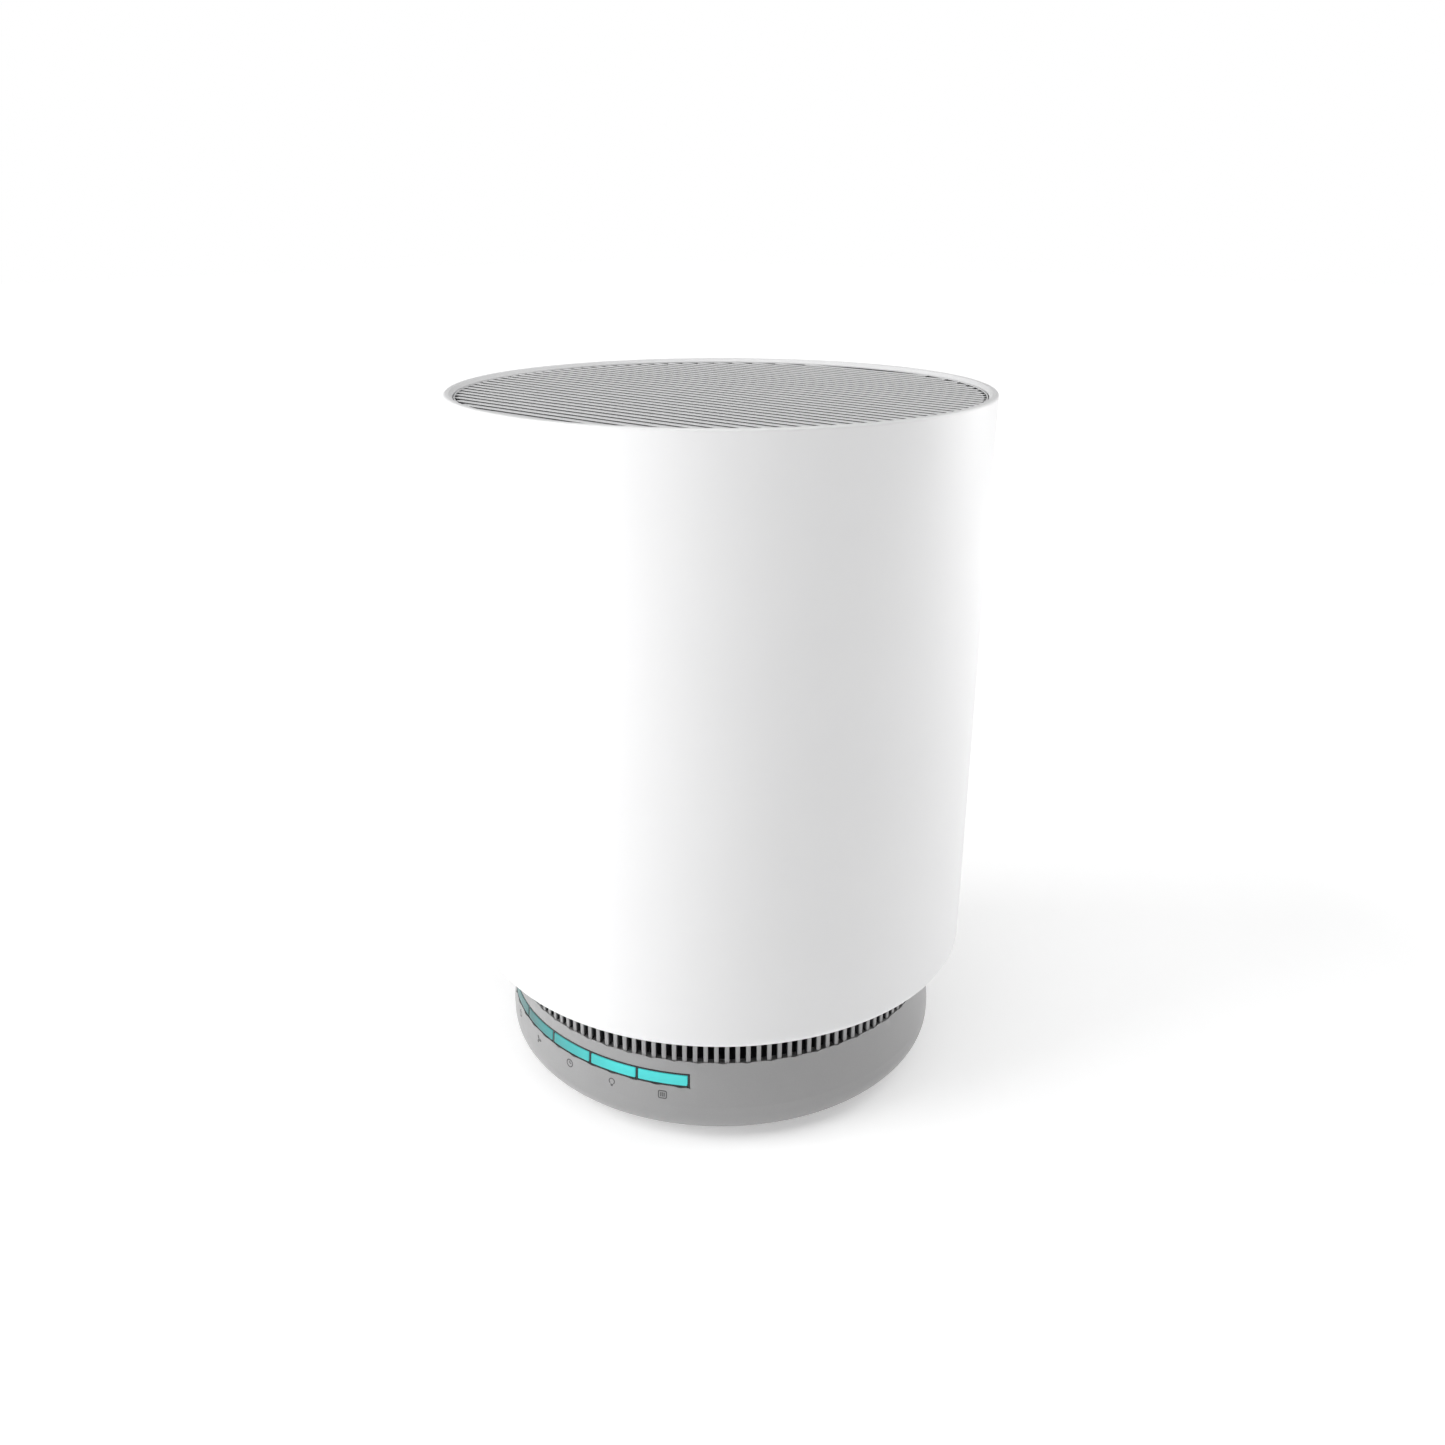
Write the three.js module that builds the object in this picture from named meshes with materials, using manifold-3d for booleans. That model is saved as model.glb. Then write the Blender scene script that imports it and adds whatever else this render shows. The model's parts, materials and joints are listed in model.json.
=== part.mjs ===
// A small cylindrical air purifier, in millimetres, +Z up.
// The origin is on the floor under the middle of the body, and the front, with the keys, faces -Y.
// Air enters the ring of slots under the shell, is drawn up through the fan inlet, is thrown outwards
// by the impeller, rises round the filter, passes inwards through it and leaves by the top grille.
import * as THREE from "three";
import { mergeVertices } from "three/addons/utils/BufferGeometryUtils.js";
import Module from "manifold-3d";

const wasm = await Module();
wasm.setup();

// ---------------------------------------------------------------- driving dimensions

const GAP = 0.3; // between pieces that rest on each other or are fastened together
const RUNNING_GAP = 0.12; // between the shaft and its bearings, on the radius

const TOTAL_HEIGHT = 245; // floor to rim
const SHELL_RADIUS = 91.5; // outside, at the rim
const SHELL_TAPER = 0.7; // the shell's lower edge is this much smaller in radius than its rim
const SHELL_WALL = 2.8;
const SHELL_EDGE = 44.7; // height of the shell's lower edge
const SHELL_EDGE_ROUND = 3.5;
const SHELL_FLANGE = 2.5; // thickness of the floor that closes the shell onto the base
const RIM_ROUND = 1;
const RIM_SLOPE = 1.1; // radial width of the sloped edge inside the rim
const RIM_SHOULDER = 3.1; // wall thickness where the grille sits in the rim

const BASE_INSET = 11.2; // from the shell's lower edge in to the top of the base
const BASE_FLARE = 1.5; // the base widens by this much on its way down
const BASE_FLARE_HEIGHT = 14.7; // where the base is widest
const BASE_CORNER = 9; // radius of the rounded lower corner
const BASE_WALL = 2.4;
const FLOOR_CLEARANCE = 0.9; // the housing's underside is held this far off the floor
const UNDERSIDE_BEVEL = 6; // radial width of the shallow slope inside the lower corner
const UNDERSIDE_DROP = 1.6; // how far that slope falls

const SILL_RISE = 0.6; // from the deck up to the lower end of the air slots
const SLOT_PITCH = 3.62; // along the circle
const SLOT_WIDTH = 2.1;
const SLOT_BAR_DEPTH = 1.8; // radial thickness of the bars between slots
const SLOT_BAR_SETBACK = 0.3; // the bars stand this far inside the base's outer face

const GRILLE_RECESS = 1.2; // from the rim down to the grille
const GRILLE_RING_WIDTH = 4.2;
const GRILLE_RING_HEIGHT = 4.5;
const SLAT_PITCH = 4.56;
const SLAT_WIDTH = 2.4;
const SLAT_HEIGHT = 3;
const SLAT_SETBACK = 0.2; // the slats lie this far below the top of their ring
const GRILLE_RIB_WIDTH = 2.4;
const GRILLE_RIB_COUNT = 1;
const GRILLE_TURN = 30; // degrees from locked to free
const LUG_COUNT = 3;
const LUG_SPAN = 18; // degrees
const LUG_GATE_SPAN = 26; // degrees of the gaps in the shell's ledge that let the lugs through
const LUG_THICKNESS = 2.2;
const LUG_EDGE_GAP = 1; // from a lug's edge to the wall that the ledge grows from
const LEDGE_THICKNESS = 2.2;
const LEDGE_WIDTH = 3.5;
const LUG_STEM = 2; // thickness of the upright part of a lug
const SHOULDER_RAMP = 3; // height over which the thick rim narrows to the shell's wall

const KEY_COUNT = 5;
const STRIP_SPAN = 68; // degrees, the whole key strip
const STRIP_BOTTOM = 21.8;
const STRIP_HEIGHT = 5.4;
const BEZEL_GAP = 0.12; // between the bezel and the window in the base
const BEZEL_RAIL = 0.35; // height of its upper and lower rails
const BEZEL_DIVIDER = 0.5; // width of its dividers
const BEZEL_FLANGE_MARGIN = 1.25; // its flange laps the inside of the wall by this much
const BEZEL_FLANGE = 1.7; // thickness
const BEZEL_SETBACK = 0.1; // from the keys' faces in to the bezel's
const KEY_GAP = 0.15; // between a key and its opening
const KEY_TRAVEL = 0.8;
const KEY_FLANGE = 1.5;
const KEY_FLANGE_MARGIN = 0.8;
const KEY_STEM = 3; // width and height
const KEY_STEM_LENGTH = 3;

const BOARD_THICKNESS = 1.6;
const BOARD_EDGE_GAP = 1; // from the keys' flanges to the crescent board
const CONTROL_BOARD_WIDTH = 16; // radial
const CONTROL_CONNECTOR = { width: 10, depth: 4, height: 4, inset: 1 };
const LAMP_LENGTH = 2.4;
const LAMP_WIDTH = 2.2;
const LAMP_MARGIN = 0.6; // from the crescent board's edge to its lamps
const SWITCH_SIZE = 5;
const SWITCH_PLUNGER = 1; // length
const MAIN_BOARD = { width: 84, depth: 50, rear: 35 };
const CAPACITOR = { radius: 4, height: 10, back: 12, x: [-30, -19] };
const MOTOR_CONNECTOR = { width: 8, length: 6, height: 6 };

const INLET_WIDTH = 15;
const INLET_HEIGHT = 12;
const INLET_Z = 17;
const INLET_WALL = 1.5;
const INLET_POCKET_DEPTH = 7;
const INLET_SOCKET_LENGTH = 11;
const INLET_BORE_RADIUS = 3.1;
const INLET_PIN_RADIUS = 1;
const INLET_SETBACK = 0.4; // its mouth stands this far inside the base's widest radius
const INLET_END_WALL = 2; // behind its bore
const INLET_PIN_SETBACK = 1; // from the pocket's floor in to the pin's tip

const DECK_THICKNESS = 2.2;
const DECK_LIFT = 0.45; // from the bezel's flange up to the deck
const PILLAR_RADIUS = 3.6;
const BOARD_POST_RADIUS = 2.5;
const HANGER_RADIUS = 2; // of the short posts that the main board hangs from
const HANGER_INSET = 5; // from the board's edges to those posts
const PILLAR_INSET = 11; // from the inside of the base wall to the pillars' axes
const PILLAR_ANGLES = [-38, 50, 130, 218];
const PILOT_FLOOR = 4; // solid stretch of a pillar below its screw hole
const COVER_MARGIN = 28; // the bottom cover is this much smaller in radius than the base
const COVER_THICKNESS = 2;
const COVER_LAP = 8; // width of the ledge that the cover is screwed to
const FOOT_RADIUS = 5;
const FOOT_HEIGHT = 1.5;
const FOOT_MARGIN = 20.5; // from the base's widest radius in to the feet
const SCREW_SHANK = 1.25;
const SCREW_HEAD = 2.7;
const SCREW_HEAD_HEIGHT = 1.1;
const SCREW_CHAMFER = 0.4;
const SCREW_POINT = 0.8;
const SCREW_SLOT_WIDTH = 0.8;
const SCREW_SLOT_DEPTH = 0.6;
const SCREW_SINK = 0.1; // from the cover's face up to its screws' heads
const COVER_SCREW_LENGTH = 4.4;
const FRAME_SCREW_LENGTH = 34;

const FAN_PLATE_THICKNESS = 2.4;
const EYE_RATIO = 0.6577; // the impeller's inlet radius over its outer radius
const INLET_RING_WALL = 1.8;
const INLET_RING_RISE = 6.1;
const INLET_RING_FLARE = 5;
const INLET_RING_FILLET = 3;
const IMPELLER_EDGE_GAP = 28.5; // from the fan housing's inside to the impeller
const IMPELLER_TIP_GAP = 1.4; // round the inlet ring
const IMPELLER_LIFT = 4.1; // from the fan plate to the impeller
const IMPELLER_HEIGHT = 26;
const IMPELLER_DISC = 2;
const BLADE_COUNT = 9;
const BLADE_THICKNESS = 1.6;
const BLADE_SWEEP = 48; // degrees from a blade's inner end to its outer end
const HUB_WALL = 2;
const HUB_HEIGHT = 18;
const HUB_CHAMFER = 3;
const BLADE_SETBACK = 0.5; // from the discs' edges to the blades

const LINER_CLEARANCE = 1.8; // between the liner and the shell at its narrow end
const LINER_WALL = 1.6;
const SEAT_WIDTH = 5.6; // of the filter's seat, inside the liner
const SEAT_THICKNESS = 2;
const FAN_HOUSING_CLEARANCE = 2.3;
const FAN_HOUSING_WALL = 1.8;
const VANE_COUNT = 9;
const VANE_THICKNESS = 1.8;
const VANE_HEIGHT = 8;
const VANE_SWEEP = 24; // degrees
const MOTOR_PLATE_RADIUS = 24;
const MOTOR_PLATE_THICKNESS = 2.5;

const ROTOR_RADIUS = 19.3;
const ROTOR_WALL = 1.4;
const MAGNET_THICKNESS = 1.3;
const MOTOR_AIR_GAP = 0.7;
const STATOR_POLES = 6;
const STATOR_HEIGHT = 8;
const STATOR_TOOTH = 3.2;
const STATOR_SHOE = 1.4; // thickness of the pole shoes
const STATOR_CORE = 2.2; // radial thickness of the core round the bearing tube
const SHOE_COVER = 0.8; // the share of the circle that the pole shoes take
const COIL_THICKNESS = 1.3;
const LINK_INSET = 0.15; // of the wire that joins the coils, inside their faces
const SHAFT_RADIUS = 1.5;
const BEARING_RADIUS = 4.1;
const BEARING_HEIGHT = 3.5;
const TUBE_WALL = 1.5;
const BEARING_INSET = 1; // from the ends of the tube
const MOTOR_BOARD_THICKNESS = 1;
const VANE_LIFT = 3; // from the impeller to the vanes
const MOTOR_PLATE_LIFT = 1.7; // from the vanes' lower edge to the motor plate
const TUBE_LIFT = 2; // from the rotor's floor to the bearing tube
const STATOR_LIFT = 1.5; // from the tube's lower end to the stator

const FILTER_TOP_DROP = 20; // from the rim down to the top of the filter's flange
const FILTER_FLANGE = 3;
const FILTER_AIR_GAP = 13; // between the filter and the liner
const FILTER_SIDE_GAP = 0.8; // between the filter's flange and the liner's wall
const FILTER_BORE = 42;
const FILTER_FLOOR_GAP = 3; // between the filter and the vanes below it
const FILTER_CAP = 3;
const MESH_THICKNESS = 1;
const PLEAT_COUNT = 40;
const PAPER_THICKNESS = 1.4;
const FOLD_SHARE = 0.4; // the flat inside a fold over the flat outside it
const GASKET_THICKNESS = 2;
const TAB_WIDTH = 16;
const TAB_THICKNESS = 1;
const TAB_REACH = 12;
const TAB_RISE = 5;
const TAB_FOOT = 8; // length of the part that is welded to the flange

const LEAD_RADIUS = 1.2;
const LEAD_HOLE_MARGIN = 1.3; // round a lead in its hole
const LEAD_WALL_GAP = 5; // from the inside of the base wall to the motor lead's axis
const LEAD_ANGLE = 152; // degrees, where the motor lead runs down
const LEAD_START = 12; // from the axis to where the lead leaves the motor's board
const LEAD_SIDES = 8;
const LEAD_DROP = 3; // from a board's underside to the leads in its connectors

const BITE = 0.5; // how far a piece runs into the one it is joined to
const PAST = 1; // how far a cut runs past the face it opens

// ---------------------------------------------------------------- sizes that follow from them

const shellBottomRadius = SHELL_RADIUS - SHELL_TAPER;
const shellInnerBottom = shellBottomRadius - SHELL_WALL;
const baseTopRadius = shellBottomRadius - BASE_INSET;
const baseRadius = baseTopRadius + BASE_FLARE;
const baseInnerTop = baseTopRadius - BASE_WALL;
const baseFloorTop = FLOOR_CLEARANCE + BASE_WALL;
const slotCount = Math.round((2 * Math.PI * baseTopRadius) / SLOT_PITCH);

const stripTop = STRIP_BOTTOM + STRIP_HEIGHT;
const stripMiddle = STRIP_BOTTOM + STRIP_HEIGHT / 2;
const deckBottom = stripTop + BEZEL_FLANGE_MARGIN + DECK_LIFT;
const deckTop = deckBottom + DECK_THICKNESS;
const slotSill = deckTop + SILL_RISE;

const grilleTop = TOTAL_HEIGHT - GRILLE_RECESS;
const grilleRadius = SHELL_RADIUS - RIM_SHOULDER - GAP;
const ledgeTop = grilleTop - GRILLE_RING_HEIGHT - GAP;
const ledgeInnerRadius = SHELL_RADIUS - RIM_SHOULDER - LEDGE_WIDTH;
const lugTop = ledgeTop - LEDGE_THICKNESS - GAP;

const baseWallSlope = BASE_FLARE / (slotSill - BASE_FLARE_HEIGHT);
const keyFaceRadius = baseTopRadius + baseWallSlope * (slotSill - stripMiddle);
const bezelFlangeOuter = baseInnerTop - GAP;
const bezelFlangeInner = bezelFlangeOuter - BEZEL_FLANGE;
const keyFlangeOuter = bezelFlangeInner - GAP;
const keyFlangeInner = keyFlangeOuter - KEY_FLANGE;
const stemTip = keyFlangeInner - KEY_STEM_LENGTH;
const plungerTip = stemTip - KEY_TRAVEL - GAP;
const controlBoardTop = STRIP_BOTTOM - GAP;
const controlBoardOuter = keyFlangeInner - BOARD_EDGE_GAP;
const controlBoardInner = controlBoardOuter - CONTROL_BOARD_WIDTH;

const deckRadius = baseInnerTop - GAP;
const pillarRadiusToAxis = baseInnerTop - PILLAR_INSET;
const coverRadius = baseRadius - COVER_MARGIN;
const coverTop = FLOOR_CLEARANCE + COVER_THICKNESS;
const coverLedgeTop = coverTop + GAP + BASE_WALL;
const coverScrewCircle = coverRadius - COVER_LAP / 2;
const footCircle = baseRadius - FOOT_MARGIN;

const inletFace = baseRadius - INLET_SETBACK;
const inletFloor = inletFace - INLET_POCKET_DEPTH;
const inletBack = inletFloor - INLET_SOCKET_LENGTH;

const fanPlateBottom = SHELL_EDGE + SHELL_FLANGE + GAP;
const fanPlateTop = fanPlateBottom + FAN_PLATE_THICKNESS;
const fanPlateRadius = shellInnerBottom - GAP;
const linerOuter = shellInnerBottom - LINER_CLEARANCE;
const linerInner = linerOuter - LINER_WALL;
const fanHousingOuter = linerInner - FAN_HOUSING_CLEARANCE;
const fanHousingInner = fanHousingOuter - FAN_HOUSING_WALL;
const impellerRadius = fanHousingInner - IMPELLER_EDGE_GAP;
const impellerBottom = fanPlateTop + IMPELLER_LIFT;
const impellerTop = impellerBottom + IMPELLER_HEIGHT;
const impellerEye = impellerRadius * EYE_RATIO;
const inletRadius = impellerEye - IMPELLER_TIP_GAP - INLET_RING_WALL;
const hubRadius = ROTOR_RADIUS + GAP + HUB_WALL;

const rotorTop = impellerTop;
const rotorBottom = impellerTop - HUB_HEIGHT + HUB_WALL + GAP;
const magnetOuter = ROTOR_RADIUS - ROTOR_WALL - GAP;
const statorRadius = magnetOuter - MAGNET_THICKNESS - MOTOR_AIR_GAP;
const tubeInner = BEARING_RADIUS + GAP;
const tubeOuter = tubeInner + TUBE_WALL;
const vaneBottom = impellerTop + VANE_LIFT;
const motorPlateBottom = vaneBottom + MOTOR_PLATE_LIFT;
const motorPlateTop = motorPlateBottom + MOTOR_PLATE_THICKNESS;
const vaneTop = vaneBottom + VANE_HEIGHT;
const tubeBottom = rotorBottom + ROTOR_WALL + TUBE_LIFT;
const tubeTop = motorPlateBottom - GAP;
const statorBottom = tubeBottom + STATOR_LIFT;
const statorTop = statorBottom + STATOR_HEIGHT;
const motorBoardBottom = statorTop + GAP + COIL_THICKNESS + GAP;
const motorBoardTop = motorBoardBottom + MOTOR_BOARD_THICKNESS;

const filterTop = TOTAL_HEIGHT - FILTER_TOP_DROP;
const filterFlangeBottom = filterTop - FILTER_FLANGE;
const seatTop = filterFlangeBottom - GAP - GASKET_THICKNESS - GAP;
const seatBottom = seatTop - SEAT_THICKNESS;
const filterBottom = vaneTop + FILTER_FLOOR_GAP;
const filterRadius = linerInner - FILTER_AIR_GAP;
const mediaOuter = filterRadius - MESH_THICKNESS - GAP;
const mediaInner = FILTER_BORE + MESH_THICKNESS + GAP;
const mediaBottom = filterBottom + FILTER_CAP + GAP;
const mediaTop = filterFlangeBottom - GAP;
const filterFlangeRadius = linerInner - FILTER_SIDE_GAP;

// ---------------------------------------------------------------- geometry helpers

const radians = THREE.MathUtils.degToRad;
const FRONT = -90; // degrees from +X

function toSolid(geometry) {
  const bare = geometry.clone();
  bare.deleteAttribute("normal");
  bare.deleteAttribute("uv");
  const merged = mergeVertices(bare, 1e-4);
  return new wasm.Manifold(
    new wasm.Mesh({
      numProp: 3,
      vertProperties: merged.attributes.position.array,
      triVerts: new Uint32Array(merged.index.array),
    }),
  );
}

function fromSolid(solid) {
  const mesh = solid.getMesh();
  const geometry = new THREE.BufferGeometry();
  geometry.setAttribute("position", new THREE.BufferAttribute(mesh.vertProperties, 3));
  geometry.setIndex(new THREE.BufferAttribute(mesh.triVerts, 1));
  return geometry;
}

const join = (...pieces) => fromSolid(pieces.map(toSolid).reduce((whole, piece) => whole.add(piece)));

function cut(body, ...tools) {
  return fromSolid(tools.map(toSolid).reduce((rest, tool) => rest.subtract(tool), toSolid(body)));
}

// A solid of revolution about Z. The [radius, height] outline closes on itself, in either direction.
function turned(outline, segments) {
  const closed = [...outline, outline[0]].map(([r, z]) => new THREE.Vector2(r, z));
  const area = THREE.ShapeUtils.area(closed.slice(0, -1));
  if (area < 0) closed.reverse();
  return new THREE.LatheGeometry(closed, segments).rotateX(Math.PI / 2);
}

// Points of an arc in an outline, from one angle to another in degrees.
function arcPoints([cx, cy], radius, from, to, steps) {
  return Array.from({ length: steps + 1 }, (_, i) => {
    const a = radians(from + ((to - from) * i) / steps);
    return [cx + radius * Math.cos(a), cy + radius * Math.sin(a)];
  });
}

const ring = (inner, outer, bottom, top, segments) =>
  turned([[inner, bottom], [outer, bottom], [outer, top], [inner, top]], segments);

const disc = (radius, bottom, top, segments) =>
  new THREE.CylinderGeometry(radius, radius, top - bottom, segments)
    .rotateX(Math.PI / 2)
    .translate(0, 0, (top + bottom) / 2);

// An outline in the XY plane, raised from one height to another.
function raised(outline, bottom, top) {
  const shape = new THREE.Shape(outline.map(([x, y]) => new THREE.Vector2(x, y)));
  return new THREE.ExtrudeGeometry(shape, { depth: top - bottom, bevelEnabled: false })
    .translate(0, 0, bottom);
}

// A piece of a ring between two angles in degrees.
function sector(inner, outer, from, to, bottom, top, step = 3.5) {
  const steps = Math.max(1, Math.ceil((to - from) / step));
  const outline = [
    ...arcPoints([0, 0], outer, from, to, steps),
    ...arcPoints([0, 0], inner, to, from, steps),
  ];
  return raised(outline, bottom, top);
}

// A block from two corners.
function block([x0, y0, z0], [x1, y1, z1]) {
  return new THREE.BoxGeometry(x1 - x0, y1 - y0, z1 - z0)
    .translate((x0 + x1) / 2, (y0 + y1) / 2, (z0 + z1) / 2);
}

// A block between two radii, centred on +X and then turned to an angle in degrees.
const spoke = (inner, outer, width, bottom, top, angle) =>
  block([inner, -width / 2, bottom], [outer, width / 2, top]).rotateZ(radians(angle));

// An upright rod, placed by its distance from the axis and its angle.
const post = (radius, bottom, top, distance, angle, segments = 16) =>
  disc(radius, bottom, top, segments).translate(distance, 0, 0).rotateZ(radians(angle));

// A round lead along a smooth route.
function lead(points, radius, steps) {
  const route = new THREE.CatmullRomCurve3(points.map((p) => new THREE.Vector3(...p)), false, "centripetal");
  const circle = arcPoints([0, 0], radius, 0, 360, LEAD_SIDES).slice(0, LEAD_SIDES);
  const section = new THREE.Shape(circle.map(([x, y]) => new THREE.Vector2(x, y)));
  return new THREE.ExtrudeGeometry(section, { steps, extrudePath: route, bevelEnabled: false });
}

// A blade or vane: a thin sheet that sweeps round from an inner radius to an outer one.
function sweptBlade({ inner, outer, sweep, thickness, bottom, top, angle, steps = 4 }) {
  const sides = [1, -1].map((side) =>
    Array.from({ length: steps + 1 }, (_, i) => {
      const t = i / steps;
      const r = inner + (outer - inner) * t;
      const a = radians(angle + sweep * t) + (side * thickness) / 2 / r;
      return [r * Math.cos(a), r * Math.sin(a)];
    }),
  );
  return raised([...sides[1], ...sides[0].reverse()], bottom, top);
}

const evenly = (count, make) => Array.from({ length: count }, (_, i) => make((360 * i) / count, i));

// ---------------------------------------------------------------- materials

const finish = (color, roughness, metalness = 0) =>
  new THREE.MeshStandardMaterial({ color, roughness, metalness });

const whitePlastic = finish(0xf4f4f4, 0.35);
const silverPaint = finish(0xb9b9bb, 0.4, 0.35);
const greyPlastic = finish(0xa9aaab, 0.5);
const blackPlastic = finish(0x141516, 0.5);
const cyanLens = finish(0x5ee6e2, 0.3);
const darkPlastic = finish(0x35373a, 0.55);
const rubber = finish(0x222222, 0.9);
const boardGreen = finish(0x1f5a3c, 0.6);
const steel = finish(0xb8babd, 0.3, 1);
const copper = finish(0xb8703c, 0.4, 1);
const brass = finish(0xb9a05a, 0.35, 1);
const magnetGrey = finish(0x3a3a3c, 0.7);
const filterPaper = finish(0xf1efe6, 0.95);
const filterMesh = finish(0xe4e6e6, 0.9);
const foam = finish(0x3b3b3b, 1);
const strap = finish(0x2d7fb8, 0.8);
const leadCover = finish(0x1b1b1b, 0.6);

const purifier = new THREE.Group();

function add(name, geometry, material) {
  const mesh = new THREE.Mesh(geometry, material);
  mesh.name = name;
  purifier.add(mesh);
}

// ---------------------------------------------------------------- shell and grille

// The shell is a tapered tube with a rounded rim. Its floor closes onto the base, and a ledge of three
// stretches near the top holds the grille's lugs.
function outerShell() {
  const rimInner = SHELL_RADIUS - RIM_SHOULDER + RIM_SLOPE;
  const shoulder = SHELL_RADIUS - RIM_SHOULDER;
  const shoulderBottom = lugTop - LUG_THICKNESS - GAP;
  const floorInner = baseTopRadius + BITE;
  const outline = [
    [floorInner, SHELL_EDGE],
    ...arcPoints([shellBottomRadius - SHELL_EDGE_ROUND, SHELL_EDGE + SHELL_EDGE_ROUND],
      SHELL_EDGE_ROUND, -90, 0, 3),
    ...arcPoints([SHELL_RADIUS - RIM_ROUND, TOTAL_HEIGHT - RIM_ROUND], RIM_ROUND, 0, 90, 2),
    [rimInner, TOTAL_HEIGHT],
    [shoulder, TOTAL_HEIGHT - RIM_SLOPE],
    [shoulder, shoulderBottom],
    [SHELL_RADIUS - SHELL_WALL, shoulderBottom - SHOULDER_RAMP],
    [shellInnerBottom, SHELL_EDGE + SHELL_FLANGE],
    [floorInner, SHELL_EDGE + SHELL_FLANGE],
  ];
  const spans = 360 / LUG_COUNT;
  const ledges = evenly(LUG_COUNT, (angle) =>
    sector(ledgeInnerRadius, shoulder + BITE, angle + LUG_GATE_SPAN / 2, angle + spans - LUG_GATE_SPAN / 2,
      ledgeTop - LEDGE_THICKNESS, ledgeTop, 6));
  return join(turned(outline, 60), ...ledges);
}

// The grille is a ring crossed by straight slats that run from side to side, with ribs below them and
// three hooked lugs that lock under the shell's ledge.
function topGrille() {
  const inner = grilleRadius - GRILLE_RING_WIDTH;
  const bottom = grilleTop - GRILLE_RING_HEIGHT;
  const slatTop = grilleTop - SLAT_SETBACK;
  const reach = (offset) => Math.sqrt((inner + GRILLE_RING_WIDTH / 2) ** 2 - offset ** 2);
  const pieces = [ring(inner, grilleRadius, bottom, grilleTop, 60)];
  const slats = Math.floor((inner - SLAT_WIDTH) / SLAT_PITCH);
  for (let i = -slats; i <= slats; i++) {
    const y = i * SLAT_PITCH;
    const x = reach(Math.abs(y) + SLAT_WIDTH / 2);
    pieces.push(block([-x, y - SLAT_WIDTH / 2, slatTop - SLAT_HEIGHT], [x, y + SLAT_WIDTH / 2, slatTop]));
  }
  const ribSpacing = (2 * inner) / (GRILLE_RIB_COUNT + 1);
  for (let i = 0; i < GRILLE_RIB_COUNT; i++) {
    const x = -inner + ribSpacing * (i + 1);
    const y = reach(Math.abs(x) + GRILLE_RIB_WIDTH / 2);
    pieces.push(block([x - GRILLE_RIB_WIDTH / 2, -y, bottom + BITE],
      [x + GRILLE_RIB_WIDTH / 2, y, slatTop - SLAT_HEIGHT + BITE]));
  }
  const hookOuter = ledgeInnerRadius - GAP;
  const hookInner = hookOuter - LUG_STEM;
  const locked = -GRILLE_TURN;
  evenly(LUG_COUNT, (angle) => {
    const from = angle + locked - LUG_SPAN / 2;
    const to = from + LUG_SPAN;
    const lugOuter = ledgeInnerRadius + LEDGE_WIDTH - LUG_EDGE_GAP;
    pieces.push(sector(hookInner, hookOuter, from, to, lugTop - LUG_THICKNESS, bottom + BITE, 6));
    pieces.push(sector(hookInner, lugOuter, from, to, lugTop - LUG_THICKNESS, lugTop, 6));
  });
  return join(...pieces);
}

// ---------------------------------------------------------------- base

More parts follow.
